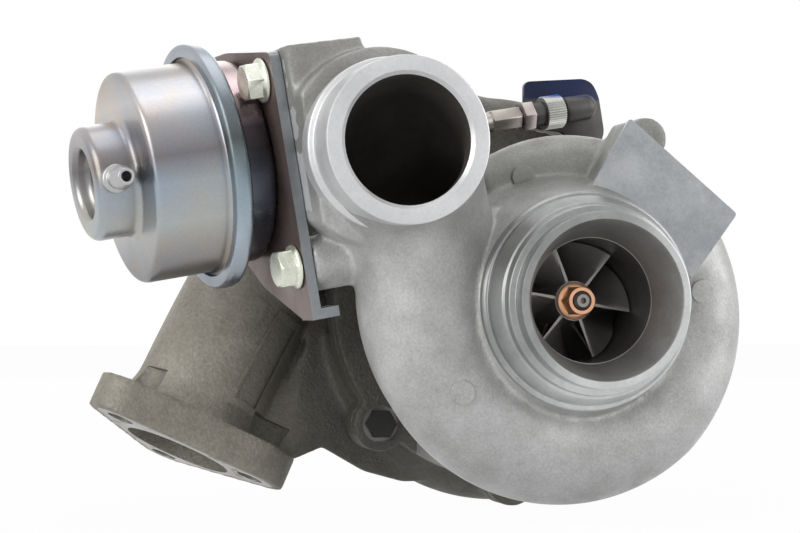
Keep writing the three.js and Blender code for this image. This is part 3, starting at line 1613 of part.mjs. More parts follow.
const turbocharger = new THREE.Group();
const flangeLandPoint = vector(flangeLandAlong, 0, flangeLandAcross).applyMatrix4(flangeFrame);
turbocharger.position.copy(flangeLandPoint).negate();

piece(turbocharger, "compressor_cover", compressorCover(), castAluminium);
piece(turbocharger, "compressor_wheel", compressorWheel(), machinedAluminium);
piece(turbocharger, "shaft_nut", shaftNut(), copper);
piece(turbocharger, "backplate", backplate(), castAluminium);
piece(turbocharger, "cover_o_ring", roundRing(oRingCentre, oRingSection, oRingStation), rubber);
piece(turbocharger, "cover_snap_ring", snapRing(), steel);
piece(turbocharger, "turbine_rotor", turbineRotor(), heatSteel);
piece(turbocharger, "oil_flinger", oilFlinger(), steel);
piece(turbocharger, "compressor_seal_ring", compressorSealRing(), steel);
piece(turbocharger, "oil_deflector", oilDeflector(), steel);
piece(turbocharger, "thrust_bearing", thrustBearing(), bronze);
piece(turbocharger, "thrust_collar", thrustCollar(), steel);
piece(turbocharger, "journal_bearing", journalBearing(), bronze);
piece(turbocharger, "bearing_pin", bearingPin(), steel);
piece(turbocharger, "turbine_seal_ring", turbineSealRing(), steel);
piece(turbocharger, "bearing_housing", bearingHousing(), castIron);
piece(turbocharger, "heat_shield", heatShield(), heatSteel);
piece(turbocharger, "turbine_housing", turbineHousing(), castIron);
housingBoltAngles.forEach((angle, k) => {
  const bolt = piece(turbocharger, `housing_bolt_${k + 1}`, housingBolt(), blackSteel);
  const [x, z] = polar(housingBoltCircle, angle);
  bolt.position.set(x, 0, z);
});

piece(turbocharger, "nozzle_ring", nozzleRing(), heatSteel);
const unison = piece(turbocharger, "unison_ring", unisonRing(), heatSteel);
unison.rotation.y = -ringRest * degree;
for (let k = 0; k < vaneCount; k++) {
  const holder = new THREE.Group();
  holder.rotation.y = -vaneAngle(k) * degree;
  turbocharger.add(holder);
  const made = piece(holder, `vane_${k + 1}`, vane(), heatSteel);
  made.position.x = vanePivotRadius;
  made.rotation.y = -vaneRest * degree;
}

const crank = new THREE.Group();
crank.position.set(crankX, 0, crankZ);
crank.rotation.y = -leverRestAngle * degree;
turbocharger.add(crank);
piece(crank, "crank_shaft", crankShaft(), heatSteel);
piece(crank, "crank_lever", crankLever(), steel);
piece(turbocharger, "crank_bush", crankBush(), steel).position.set(crankX, 0, crankZ);
piece(turbocharger, "link_plate", linkPlate(), blackSteel);
piece(turbocharger, "link_clip", linkClip(), steel);

const actuator = new THREE.Group();
actuatorFrame.decompose(actuator.position, actuator.quaternion, actuator.scale);
turbocharger.add(actuator);
piece(actuator, "actuator_bracket", actuatorBracket(), zincSteel);
piece(actuator, "rear_can", rearCan(), purpleZinc);
piece(actuator, "cap_can", capCan(), zincSteel);
piece(actuator, "crimp_ring", crimpRing(), zincSteel);
piece(actuator, "diaphragm", diaphragm(), rubber);
piece(actuator, "diaphragm_plate", diaphragmPlate(), zincSteel);
piece(actuator, "return_spring", returnSpring(), steel);
piece(actuator, "vacuum_nipple", vacuumNipple(), zincSteel);
piece(actuator, "actuator_rod", actuatorRod(), zincSteel);
piece(actuator, "lock_nut", lockNut(), steel);
piece(actuator, "adjuster_sleeve", adjusterSleeve(), blackSteel);
piece(actuator, "knurled_ring", knurledRing(), blackSteel);
[[upperBoltAcross, upperBoltUp], [lowerBoltAcross, lowerBoltUp]].forEach(([across, up], k) => {
  piece(actuator, `bracket_bolt_${k + 1}`, bracketBolt(), greenZinc).position.set(across, 0, up);
});
[studSpacing, -studSpacing].forEach((up, k) => {
  piece(actuator, `actuator_nut_${k + 1}`, actuatorNut(), zincSteel).position.set(0, 0, up);
});

export default turbocharger;
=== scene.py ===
# %% [markdown]
# # A turbocharger with a vacuum actuator
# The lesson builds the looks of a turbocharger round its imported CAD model. The castings are fused from smooth
# surfaces and then machined by cutting bodies, as a foundry and a machine shop would make them. The pressed
# and turned parts are profiles carried round an axis. Every finish is a small net of nodes on Object
# coordinates.

# %% Load the frame
import json
import math

import bmesh
import bpy
import numpy as np
from mathutils import Matrix, Vector


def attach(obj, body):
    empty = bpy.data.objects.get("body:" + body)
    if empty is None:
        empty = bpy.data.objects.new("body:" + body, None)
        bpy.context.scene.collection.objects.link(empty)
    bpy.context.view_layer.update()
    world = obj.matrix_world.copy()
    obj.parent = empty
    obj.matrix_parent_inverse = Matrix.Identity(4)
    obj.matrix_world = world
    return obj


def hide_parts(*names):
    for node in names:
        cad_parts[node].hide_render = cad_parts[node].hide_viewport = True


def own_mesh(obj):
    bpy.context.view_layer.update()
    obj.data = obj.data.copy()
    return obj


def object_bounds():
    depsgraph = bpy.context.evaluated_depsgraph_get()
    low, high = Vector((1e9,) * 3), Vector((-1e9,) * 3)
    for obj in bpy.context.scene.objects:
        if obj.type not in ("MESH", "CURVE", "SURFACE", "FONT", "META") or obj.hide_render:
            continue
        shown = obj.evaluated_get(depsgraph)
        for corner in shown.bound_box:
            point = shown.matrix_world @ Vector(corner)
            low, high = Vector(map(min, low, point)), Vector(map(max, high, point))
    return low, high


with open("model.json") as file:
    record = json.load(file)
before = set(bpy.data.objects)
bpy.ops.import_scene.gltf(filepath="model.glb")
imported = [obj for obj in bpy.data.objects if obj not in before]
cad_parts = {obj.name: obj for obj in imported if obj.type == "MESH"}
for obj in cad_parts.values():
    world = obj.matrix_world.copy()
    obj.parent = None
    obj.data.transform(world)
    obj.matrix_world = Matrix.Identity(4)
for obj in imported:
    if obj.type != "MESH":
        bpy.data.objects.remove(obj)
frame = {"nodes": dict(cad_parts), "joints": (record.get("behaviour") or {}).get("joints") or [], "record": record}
cad_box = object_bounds()
print("CAD box", [tuple(round(c, 4) for c in corner) for corner in cad_box])

# %% [markdown]
# ## Two working frames
# Sizes below are in millimetres. The main frame has its origin on the shaft line at the back plane of the
# compressor wheel, with Y along the shaft. The actuator's frame has Y along its rod towards the cap and Z up.
# Both are read from the joints, so a piece lands where the CAD has it.

# %% Frames from the joints
mm = 0.001
joint = {j["name"]: j for j in frame["joints"]}
shaft_origin = np.array(joint["rotor_spin"]["pos_m"])
slide_origin = np.array(joint["actuator_slide"]["pos_m"])
slide_axis = np.array(joint["actuator_slide"]["axis"], float)
slide_axis /= np.linalg.norm(slide_axis)
slide_up = np.array([0, 0, 1.0]) - slide_axis[2] * slide_axis
slide_up /= np.linalg.norm(slide_up)
slide_across = np.cross(slide_axis, slide_up)
slide_basis = np.stack([slide_across, slide_axis, slide_up])


def on_shaft(points):
    """A point's row place is its millimetres, scaled, added to the shaft's origin."""
    return np.asarray(points, float) * mm + shaft_origin


def on_rod(points):
    """A point's row place is the sum of its millimetres times the actuator's three axes, added to the
    origin."""
    return np.asarray(points, float) @ slide_basis * mm + slide_origin


def rod_to_shaft(points):
    """The same place told in the main frame: on_rod, less the shaft's origin, in millimetres."""
    return (on_rod(points) - shaft_origin) / mm


print("shaft", shaft_origin, "rod", slide_origin)

# %% [markdown]
# ## Camera, floor and light
# The camera stands nearly square to the compressor inlet, a little to its left and slightly below. A long
# lens keeps the perspective of the photograph. The floor and the world are white to the camera and to
# mirrors, and the lamps are large and soft, at both sides of the camera, so the flanks are lighter than the
# top.

# %% Camera
scene = bpy.context.scene
camera_azimuth, camera_elevation = math.radians(-13.6), math.radians(-1.3)
camera_place = (-0.098635, -0.688402, 0.040977)
back = Vector((math.sin(camera_azimuth) * math.cos(camera_elevation),
               -math.cos(camera_azimuth) * math.cos(camera_elevation),
               math.sin(camera_elevation)))
right = Vector((math.cos(camera_azimuth), math.sin(camera_azimuth), 0))
above = back.cross(right)
camera = bpy.data.objects.new("camera", bpy.data.cameras.new("camera"))
camera.data.lens = 99
camera.data.sensor_width = 36
camera.data.clip_start, camera.data.clip_end = 0.05, 50
camera.matrix_world = Matrix((
    (right.x, above.x, back.x, camera_place[0]),
    (right.y, above.y, back.y, camera_place[1]),
    (right.z, above.z, back.z, camera_place[2]),
    (0, 0, 0, 1)))
scene.collection.objects.link(camera)
scene.camera = camera
scene.view_settings.view_transform = "Standard"
print("camera lens", camera.data.lens, "mm")

# %% Node helpers


def node(tree, kind, inputs=None, **settings):
    """A shader node with its settings, its plain values and its links from other sockets."""
    made = tree.nodes.new(kind)
    for key, value in settings.items():
        setattr(made, key, value)
    for key, value in (inputs or {}).items():
        if isinstance(value, bpy.types.NodeSocket):
            tree.links.new(value, made.inputs[key])
        else:
            made.inputs[key].default_value = value
    return made


def worked(tree, kind, operation, *terms):
    """A Math or VectorMath node with its operation and its terms in their order."""
    return node(tree, "ShaderNode" + kind, dict(enumerate(terms)), operation=operation)


def seen_directly(tree):
    """One for camera, glossy and transmission rays, else zero: the largest of the three flags."""
    rays = node(tree, "ShaderNodeLightPath").outputs
    first = worked(tree, "Math", "MAXIMUM", rays["Is Camera Ray"], rays["Is Glossy Ray"])
    return worked(tree, "Math", "MAXIMUM", first.outputs[0], rays["Is Transmission Ray"]).outputs[0]


# %% World
white, sky_colour, paper_colour = (1, 1, 1, 1), (0.93, 0.96, 1, 1), (0.86, 0.86, 0.86, 1)
ambient_strength = 0.3
world = bpy.data.worlds.new("studio")
scene.world = world
world.use_nodes = True
tree = world.node_tree
tree.nodes.clear()
shown = node(tree, "ShaderNodeBackground", {"Color": white, "Strength": 1.0})
ambient = node(tree, "ShaderNodeBackground", {"Color": sky_colour, "Strength": ambient_strength})
mixed = node(tree, "ShaderNodeMixShader",
             {0: seen_directly(tree), 1: ambient.outputs[0], 2: shown.outputs[0]})
node(tree, "ShaderNodeOutputWorld", {"Surface": mixed.outputs[0]})

# %% Floor
floor_half, floor_gap, glow_share = 4.0, 0.0005, 0.97
floor_level = cad_box[0].z - floor_gap
floor_mesh = bpy.data.meshes.new("floor")
corners = [(x * floor_half, y * floor_half, floor_level) for x, y in ((-1, -1), (1, -1), (1, 1), (-1, 1))]
floor_mesh.from_pydata(corners, [], [(0, 1, 2, 3)])
floor = bpy.data.objects.new("floor", floor_mesh)
scene.collection.objects.link(floor)
paper = bpy.data.materials.new("white_paper")
paper.use_nodes = True
tree = paper.node_tree
tree.nodes.clear()
matt = node(tree, "ShaderNodeBsdfDiffuse", {"Color": paper_colour})
glow = node(tree, "ShaderNodeEmission", {"Color": white, "Strength": 1.0})
share = worked(tree, "Math", "MULTIPLY", seen_directly(tree), glow_share)
mixed = node(tree, "ShaderNodeMixShader", {0: share.outputs[0], 1: matt.outputs[0], 2: glow.outputs[0]})
node(tree, "ShaderNodeOutputMaterial", {"Surface": mixed.outputs[0]})
floor_mesh.materials.append(paper)

# %% Lamps
lamp_table = {
    "left": ((-1.25, -0.75, 0.5), 1.3, 13),
    "right": ((1.3, -0.6, 0.35), 1.3, 11),
    "top": ((0, 0, 1.3), 1.2, 4),
    "rear": ((0.3, 1.3, 0.6), 1.2, 5),
}
target = (cad_box[0] + cad_box[1]) / 2
for lamp_name, (place, size, power) in lamp_table.items():
    lamp = bpy.data.objects.new(lamp_name, bpy.data.lights.new(lamp_name, "AREA"))
    lamp.data.shape = "DISK"
    lamp.data.size = size
    lamp.data.energy = power
    lamp.location = Vector(place) + target
    lamp.rotation_mode = "QUATERNION"
    lamp.rotation_quaternion = (lamp.location - target).to_track_quat("Z", "Y")
    scene.collection.objects.link(lamp)
print("lamps", list(lamp_table))

# %% [markdown]
# ## Surfaces from formulas
# A lathe carries a profile round an axis, a loft joins rings that run along a route, and a prism pulls an
# outline straight. Each gives a closed skin as an array of corners and a list of faces, so that skins can be
# stacked, fused and cut.

# %% Closed skins
turn_steps = 144


def grid_faces(rows, sides, wrap_rows):
    """Quads between neighbouring rings. Each joins corner k and the next one of a ring to those two of the
    ring ahead, and the last corner's next is the first."""
    i = np.arange(rows if wrap_rows else rows - 1)[:, None]
    k = np.arange(sides)[None, :]
    ahead, turn = (i + 1) % rows, (k + 1) % sides
    here, there = i * sides, ahead * sides
    return np.stack([here + k, here + turn, there + turn, there + k], -1).reshape(-1, 4)


def lathe(profile, sides=turn_steps):
    """Each radius and station of the profile goes round Y: x is the radius times the cosine of the angle, z
    the radius times its sine, and y the station. A profile that starts and ends on the axis makes a solid,
    and any other closes on itself as a ring."""
    p = np.asarray(profile, float)
    t = np.linspace(0, 2 * np.pi, sides, endpoint=False)
    r, y = p[:, 0][:, None], p[:, 1][:, None]
    corners = np.stack([r * np.cos(t), y + 0 * t, r * np.sin(t)], -1).reshape(-1, 3)
    solid = p[0, 0] == 0 and p[-1, 0] == 0
    return corners, grid_faces(len(p), sides, not solid).tolist()


def loft(rings):
    """Rings of equally many corners joined in order, with one flat face over each end."""
    rows, sides = rings.shape[:2]
    faces = grid_faces(rows, sides, False).tolist()
    faces.append(list(range(sides))[::-1])
    faces.append(list(range((rows - 1) * sides, rows * sides)))
    return rings.reshape(-1, 3), faces


def prism(outline, front, back):
    """An outline in X and Z pulled along Y from one station to another."""
    flat = np.asarray(outline, float)
    rings = np.stack([np.insert(flat, 1, y, axis=1) for y in (front, back)])
    return loft(rings)


def block(low, high, front, back):
    """A block between two corners in X and Z, from one station to another."""
    return prism([low, (high[0], low[1]), high, (low[0], high[1])], front, back)


side_share, same_place = 0.49, 1e-6


def softened(points, radius, closed=True, steps=5):
    """Each corner gives way to a quadratic curve that starts and ends a radius from it, or at just under half
    of a shorter side. At share s the curve is the start times the square of what is left, plus the corner
    times twice the share times what is left, plus the end times the share's square."""
    p = np.asarray(points, float)
    to_last, to_next = np.roll(p, 1, 0) - p, np.roll(p, -1, 0) - p
    last_length = np.linalg.norm(to_last, axis=1, keepdims=True)
    next_length = np.linalg.norm(to_next, axis=1, keepdims=True)
    reach = np.minimum(radius, side_share * np.minimum(last_length, next_length))
    if not closed:
        reach[[0, -1]] = 0
    a, c = p + to_last / last_length * reach, p + to_next / next_length * reach
    s = np.linspace(0, 1, steps)[None, :, None]
    curve = (1 - s) ** 2 * a[:, None] + 2 * s * (1 - s) * p[:, None] + s ** 2 * c[:, None]
    curve = curve.reshape(-1, p.shape[1])
    keep = np.linalg.norm(curve - np.roll(curve, 1, 0), axis=1) > same_place
    keep[0] = True
    return curve[keep]


def arc(centre, radius, start, end, steps=12):
    """Points at equal angles, in degrees, on a circle in the plane of the outline."""
    t = np.radians(np.linspace(start, end, steps))
    return np.stack([centre[0] + radius * np.cos(t), centre[1] + radius * np.sin(t)], -1)


def circle(radius, sides=48, centre=(0, 0)):
    """A full circle as an outline."""
    t = np.linspace(0, 2 * np.pi, sides, endpoint=False)
    return np.stack([centre[0] + radius * np.cos(t), centre[1] + radius * np.sin(t)], -1)


def bar_outline(near, far, near_radius, far_radius):
    """The outline round two circles: two arcs that meet the common tangents."""
    near, far = np.asarray(near, float), np.asarray(far, float)
    run = far - near
    heading = math.degrees(math.atan2(run[1], run[0]))
    lean = math.degrees(math.asin((near_radius - far_radius) / np.linalg.norm(run)))
    return np.concatenate([arc(near, near_radius, heading + 90 - lean, heading + 270 + lean),
                           arc(far, far_radius, heading - 90 + lean, heading + 90 - lean)])


def hexagon(flats, centre=(0, 0)):
    """Six corners at the width across flats divided by the square root of three."""
    return circle(flats / math.sqrt(3), 6, centre)


def moved(skin, move):
    """The skin with its corners put through a function."""
    corners, faces = skin
    return move(corners), faces


def shifted(skin, offset):
    """The skin moved by an offset."""
    return skin[0] + np.asarray(offset, float), skin[1]


def spun(skin, angle):
    """The skin turned about Y by an angle counted from X towards Z."""
    t = math.radians(angle)
    x, y, z = skin[0].T
    return np.stack([x * math.cos(t) - z * math.sin(t), y, x * math.sin(t) + z * math.cos(t)], -1), skin[1]


def aimed(skin, place, direction):
    """The skin turned so that its Y points along a direction, and moved to a place."""
    turn = Vector((0, 1, 0)).rotation_difference(Vector(direction)).to_matrix()
    return skin[0] @ np.array(turn).T + np.asarray(place, float), skin[1]


def turned(profile, edge, sides=turn_steps, steps=5):
    """A solid turned from a profile that starts and ends on the axis, with its corners softened."""
    return lathe(softened(profile, edge, closed=False, steps=steps), sides)


def post(radius, front, back, sides=48, edge=0.0):
    """A round bar along Y with its two rims softened."""
    return turned([(0, front), (radius, front), (radius, back), (0, back)], edge, sides)


def polar(radius, angle):
    """x and z at a radius and an angle in degrees."""
    t = np.radians(angle)
    return radius * np.cos(t), radius * np.sin(t)


# %% Meshes out of skins
seam_gap, sliver = 1e-7, 1e-8


def mesh_object(name, skins, finish=None, place=on_shaft):
    """Stacks skins into one mesh, closes seams and poles, and turns the faces outwards."""
    mesh = bpy.data.meshes.new(name)
    corners = np.concatenate([place(s[0]) for s in skins])
    faces, start = [], 0
    for skin_corners, skin_faces in skins:
        faces += [[start + k for k in face] for face in skin_faces]
        start += len(skin_corners)
    mesh.from_pydata(corners.tolist(), [], faces)
    form = bmesh.new()
    form.from_mesh(mesh)
    bmesh.ops.remove_doubles(form, verts=form.verts, dist=seam_gap)
    bmesh.ops.dissolve_degenerate(form, edges=form.edges, dist=sliver)
    bmesh.ops.recalc_face_normals(form, faces=form.faces)
    form.to_mesh(mesh)
    form.free()
    made = bpy.data.objects.new(name, mesh)
    scene.collection.objects.link(made)
    if finish:
        mesh.materials.append(finish)
    return made


def with_modifiers(made):
    """Bakes a piece's modifiers into its mesh."""
    graph = bpy.context.evaluated_depsgraph_get()
    graph.update()
    fresh = bpy.data.meshes.new_from_object(made.evaluated_get(graph), preserve_all_data_layers=True,
                                            depsgraph=graph)
    made.modifiers.clear()
    made.data = fresh
    return made


def smooth_shaded(made, crease=32):
    """Smooth shading with a hard edge wherever two faces meet at more than the crease angle."""
    made.data.polygons.foreach_set("use_smooth", np.ones(len(made.data.polygons), bool))
    made.data.set_sharp_from_angle(angle=math.radians(crease))
    return made


def fused(name, skins, voxel, rounds, finish):
    """One casting out of many skins: a voxel remesh joins them, and smoothing rounds where they meet."""
    made = mesh_object(name, skins, finish)
    remesh = made.modifiers.new("fuse", "REMESH")
    remesh.mode = "VOXEL"
    remesh.voxel_size = voxel * mm
    soften = made.modifiers.new("soften", "SMOOTH")
    soften.factor = 0.5
    soften.iterations = rounds
    return with_modifiers(made)


def bodies(tone, *skins, place=on_shaft):
    """Crisp bodies of one finish, ready to be joined to a piece or cut out of it."""
    return [mesh_object("body", [skin], tone, place) for skin in skins]


def machined(made, added=(), removed=(), shared=()):
    """Keeps what a piece shares with some bodies, joins others to it, and cuts others out of it. The new
    faces keep their own finish."""
    tools = [(tool, "INTERSECT") for tool in shared]
    tools += [(tool, "UNION") for tool in added] + [(tool, "DIFFERENCE") for tool in removed]
    for tool, operation in tools:
        step = made.modifiers.new(operation, "BOOLEAN")
        step.operation = operation
        step.object = tool
        step.solver = "MANIFOLD"
        step.material_mode = "TRANSFER"
    with_modifiers(made)
    for tool, _ in tools:
        bpy.data.objects.remove(tool)
    return made


def finished(made, body, nodes, crease=32):
    """Shades a piece, lets it ride on its body, and puts it in place of its CAD nodes."""
    smooth_shaded(made, crease)
    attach(made, body)
    if nodes:
        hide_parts(*nodes)
    print(made.name, len(made.data.polygons), "faces")
    return made


def bevelled(made, width, segments=2, angle=35):
    """A small round on every hard edge."""
    edge = made.modifiers.new("edge", "BEVEL")
    edge.width = width * mm
    edge.segments = segments
    edge.limit_method = "ANGLE"
    edge.angle_limit = math.radians(angle)
    edge.harden_normals = False
    return with_modifiers(made)


# %% [markdown]
# ## Finishes
# Cast metal is grainy, machined metal has fine turning marks, and zinc plating drifts between blue, violet
# and straw as its film gets thicker. The bands of light and dark that a cup of bright metal shows from the room
# round it are painted into its colour as painted reflections, and painted shade and light lie in bands on the
# castings and the turned snout, so some finishes have bands of colour along an axis. Every finish starts from
# Object coordinates in metres, so noise scales are told as grains per metre.

# %% Finish builder
noise_low, noise_high = 0.3, 0.7
cloud_low, cloud_high = 0.36, 0.64
speck_scale, rough_scale = 0.8, 2.7


def ramp(tree, source, stops):
    """Colours at places between nought and one, blended in between."""
    made = node(tree, "ShaderNodeValToRGB", {0: source})
    bar = made.color_ramp
    while len(bar.elements) < len(stops):
        bar.elements.new(0.5)
    for element, (place, colour) in zip(bar.elements, stops):
        element.position = place
        element.color = (*colour, 1)
    return made.outputs[0]


def noise(tree, scale, detail=3, squeeze=(1, 1, 1), roughness=0.5):
    """Cloudy noise on Object coordinates, drawn out along the axes by the squeeze."""
    place = node(tree, "ShaderNodeTexCoord").outputs["Object"]
    place = node(tree, "ShaderNodeMapping", {"Vector": place, "Scale": squeeze}).outputs[0]
    return node(tree, "ShaderNodeTexNoise",
                {"Vector": place, "Scale": scale, "Detail": detail, "Roughness": roughness}).outputs[0]


def span(tree, source, low, high):
    """The source's middle half spread over a range."""
    return node(tree, "ShaderNodeMapRange",
                {"Value": source, "From Min": noise_low, "From Max": noise_high, "To Min": low,
                 "To Max": high}).outputs[0]


def from_axis(tree, origin, axis):
    """The way from an origin to the point, and its height along an axis, which is their dot product."""
    place = node(tree, "ShaderNodeTexCoord").outputs["Object"]
    away = worked(tree, "VectorMath", "SUBTRACT", place, tuple(origin)).outputs[0]
    return away, worked(tree, "VectorMath", "DOT_PRODUCT", away, tuple(axis)).outputs["Value"]


def turned_marks(tree, origin, axis, pitch):
    """Fine rings about an axis: noise read on the distance from the axis and the height along it, so it is
    the same all the way round. The distance is the length of the cross product with the axis."""
    away, height = from_axis(tree, origin, axis)
    crossed = worked(tree, "VectorMath", "CROSS_PRODUCT", away, tuple(axis)).outputs[0]
    reach = worked(tree, "VectorMath", "LENGTH", crossed).outputs["Value"]
    both = node(tree, "ShaderNodeCombineXYZ", {0: reach, 1: height}).outputs[0]
    return node(tree, "ShaderNodeTexNoise",
                {"Vector": both, "Scale": 1 / (pitch * mm), "Detail": 4, "Roughness": 0.7}).outputs[0]


def share_along(tree, origin, axis, low, high):
    """How far along an axis a point lies: nought at low millimetres from the origin and one at high."""
    height = from_axis(tree, origin, axis)[1]
    return node(tree, "ShaderNodeMapRange",
                {"Value": height, "From Min": low * mm, "From Max": high * mm}).outputs[0]


def times(tree, first, second):
    """Two colours, or a colour and a number, multiplied channel by channel."""
    return worked(tree, "VectorMath", "MULTIPLY", first, second).outputs[0]


def finish(name, colours, metallic, rough, grain, grain_depth, cloud=45, marks=None, bands=None,
           speckle=0.04):
    """A metal with clouds of colour between two tones, fine specks, clouds of roughness, and a fine bump.
    grain is the bump's scale per metre, grain_depth its height in millimetres, speckle the specks' contrast.
    Bands are colours along an axis, which the clouds then multiply."""
    made = bpy.data.materials.new(name)
    made.use_nodes = True
    tree = made.node_tree
    tree.nodes.clear()
    clouds = noise(tree, cloud, 5, roughness=0.6)
    colour = ramp(tree, clouds, [(cloud_low, colours[0]), (cloud_high, colours[1])])
    if bands:
        origin, axis, low, high, stops = bands
        colour = times(tree, colour, ramp(tree, share_along(tree, origin, axis, low, high), stops))
    colour = times(tree, colour, span(tree, noise(tree, grain * speck_scale, 3), 1 - speckle, 1 + speckle))
    roughness = span(tree, noise(tree, cloud * rough_scale, 4), *rough)
    height = turned_marks(tree, *marks) if marks else noise(tree, grain, 3)
    bump = node(tree, "ShaderNodeBump", {"Height": height, "Distance": grain_depth * mm, "Strength": 1.0})
    shader = node(tree, "ShaderNodeBsdfPrincipled", {"Base Color": colour, "Metallic": metallic,
                                                     "Roughness": roughness, "Normal": bump.outputs[0]})
    node(tree, "ShaderNodeOutputMaterial", {"Surface": shader.outputs[0]})
    return made


# %% Table of finishes
shaft_marks = (shaft_origin, (0, 1, 0), 0.7)
fine, coarse = 1500, 1100
satin, bright, sandy = (0.34, 0.46), (0.24, 0.36), (0.48, 0.68)
# Painted shade: the cast aluminium is darkest towards its top and a little darker at its bottom.
cast_shade_bands = (shaft_origin, (0, 0, 1), -60, 60, [(0.0, (0.86, 0.87, 0.88)), (0.35, (1, 1, 1)),
                                                 (0.66, (0.95, 0.95, 0.95)), (0.8, (0.58, 0.575, 0.56)),
                                                 (1.0, (0.62, 0.61, 0.59))])
cast_aluminium = finish("cast_aluminium", ((0.40, 0.40, 0.385), (0.53, 0.53, 0.52)), 0.35, (0.38, 0.58), 1700,
                        0.1, 60, bands=cast_shade_bands, speckle=0.12)
# Painted shade: the turned aluminium is darker towards the upper left and lighter towards the lower right.
turned_shade_bands = (shaft_origin, (0.8, 0, -0.6), -34, 34, [(0.0, (0.52, 0.52, 0.51)), (0.36, (0.6, 0.6, 0.59)),
                                                        (0.62, (1, 1, 1)), (1.0, (1.08, 1.08, 1.08))])
turned_aluminium = finish("turned_aluminium", ((0.44, 0.45, 0.45), (0.58, 0.59, 0.59)), 0.7, (0.28, 0.4), 900,
                          0.003, marks=shaft_marks, bands=turned_shade_bands)
flat_aluminium = finish("flat_aluminium", ((0.57, 0.57, 0.575), (0.68, 0.68, 0.685)), 0.5, satin, fine, 0.006)
plate_aluminium = finish("plate_aluminium", ((0.30, 0.315, 0.33), (0.42, 0.43, 0.44)), 0.5, satin, fine, 0.01,
                         70, speckle=0.08)
# Painted shade: the inside of the air passage is near black for the shade deep inside it.
shaded_inner_aluminium = finish("shaded_inner_aluminium", ((0.10, 0.09, 0.08), (0.17, 0.155, 0.14)), 0.5, (0.4, 0.6), fine,
                         0.05)
# Painted shade: the inlet cone and the wheel's bore are darker copies of the turned aluminium, for the shade
# inside the inlet.
shaded_cone_aluminium = finish("shaded_cone_aluminium", ((0.26, 0.25, 0.24), (0.34, 0.33, 0.315)), 0.6, satin, 900, 0.003,
                        marks=shaft_marks)
shaded_bore_aluminium = finish("shaded_bore_aluminium", ((0.12, 0.115, 0.11), (0.18, 0.172, 0.165)), 0.6, satin, 900, 0.003,
                        marks=shaft_marks)
wheel_aluminium = finish("wheel_aluminium", ((0.34, 0.32, 0.305), (0.46, 0.44, 0.42)), 0.55, satin, fine,
                         0.01)
copper = finish("copper", ((0.68, 0.34, 0.18), (0.92, 0.54, 0.33)), 0.8, (0.28, 0.4), fine, 0.01)
# Painted light and shade: the cast iron is much lighter at its far left end, darkest round the gusset, and dimmer
# towards the middle.
iron_light_shade_bands = (shaft_origin, (1, 0, 0), -112, 0, [(0.0, (1.7, 1.7, 1.68)), (0.22, (1.5, 1.5, 1.48)),
                                                 (0.38, (0.88, 0.88, 0.87)), (0.46, (0.42, 0.42, 0.41)),
                                                 (0.75, (0.5, 0.5, 0.5)), (1.0, (0.6, 0.6, 0.6))])
cast_iron = finish("cast_iron", ((0.15, 0.138, 0.115), (0.215, 0.2, 0.172)), 0.25, sandy, coarse, 0.28, 40,
                   bands=iron_light_shade_bands, speckle=0.16)
machined_iron = finish("machined_iron", ((0.33, 0.32, 0.30), (0.43, 0.42, 0.40)), 0.6, (0.3, 0.45), fine,
                       0.01)
steel = finish("steel", ((0.34, 0.34, 0.345), (0.46, 0.46, 0.465)), 0.9, (0.26, 0.42), fine, 0.008)
dark_steel = finish("dark_steel", ((0.02, 0.02, 0.02), (0.045, 0.043, 0.04)), 0.5, (0.35, 0.5), fine, 0.02)
heat_steel = finish("heat_steel", ((0.24, 0.22, 0.20), (0.36, 0.34, 0.32)), 0.85, (0.3, 0.5), fine, 0.02)
bronze = finish("bronze", ((0.45, 0.33, 0.16), (0.56, 0.43, 0.22)), 0.9, (0.25, 0.4), fine, 0.008)
rubber = finish("rubber", ((0.015, 0.015, 0.015), (0.03, 0.03, 0.03)), 0.0, (0.6, 0.8), fine, 0.02)
warm_clouds = ((0.92, 0.98, 1.06), (1.18, 1.0, 0.80))
cool_clouds = ((0.94, 0.95, 1.0), (1.06, 1.02, 1.0))
silver_zinc = finish("silver_zinc", ((0.40, 0.41, 0.43), (0.50, 0.49, 0.48)), 0.85, bright, fine, 0.006, 22)


def reflection_bands_on_can(half_height, *stops):
    """Painted reflection bands from below the rod's axis to as far above it."""
    return slide_origin, slide_up, -half_height, half_height, stops


# Painted reflections: the cap, ring and rear cup carry bands of the room's light and dark in their colour, and the
# rear cup a pinkish highlight near its top.
cap_zinc = finish("cap_zinc", warm_clouds, 0.85, (0.26, 0.36), fine, 0.005, 26, bands=reflection_bands_on_can(
    33, (0.0, (0.15, 0.15, 0.155)), (0.1, (0.24, 0.24, 0.25)), (0.27, (0.38, 0.43, 0.47)),
    (0.44, (0.34, 0.38, 0.42)), (0.56, (0.19, 0.18, 0.185)), (0.66, (0.30, 0.30, 0.32)),
    (0.82, (0.52, 0.51, 0.52)), (1.0, (0.30, 0.28, 0.26))))
ring_zinc = finish("ring_zinc", cool_clouds, 0.85, (0.24, 0.34), fine, 0.005, 30, bands=reflection_bands_on_can(
    37, (0.0, (0.20, 0.23, 0.27)), (0.2, (0.38, 0.45, 0.51)), (0.42, (0.26, 0.33, 0.36)),
    (0.58, (0.085, 0.10, 0.095)), (0.74, (0.17, 0.20, 0.22)), (0.92, (0.36, 0.40, 0.44)),
    (1.0, (0.27, 0.30, 0.33))))
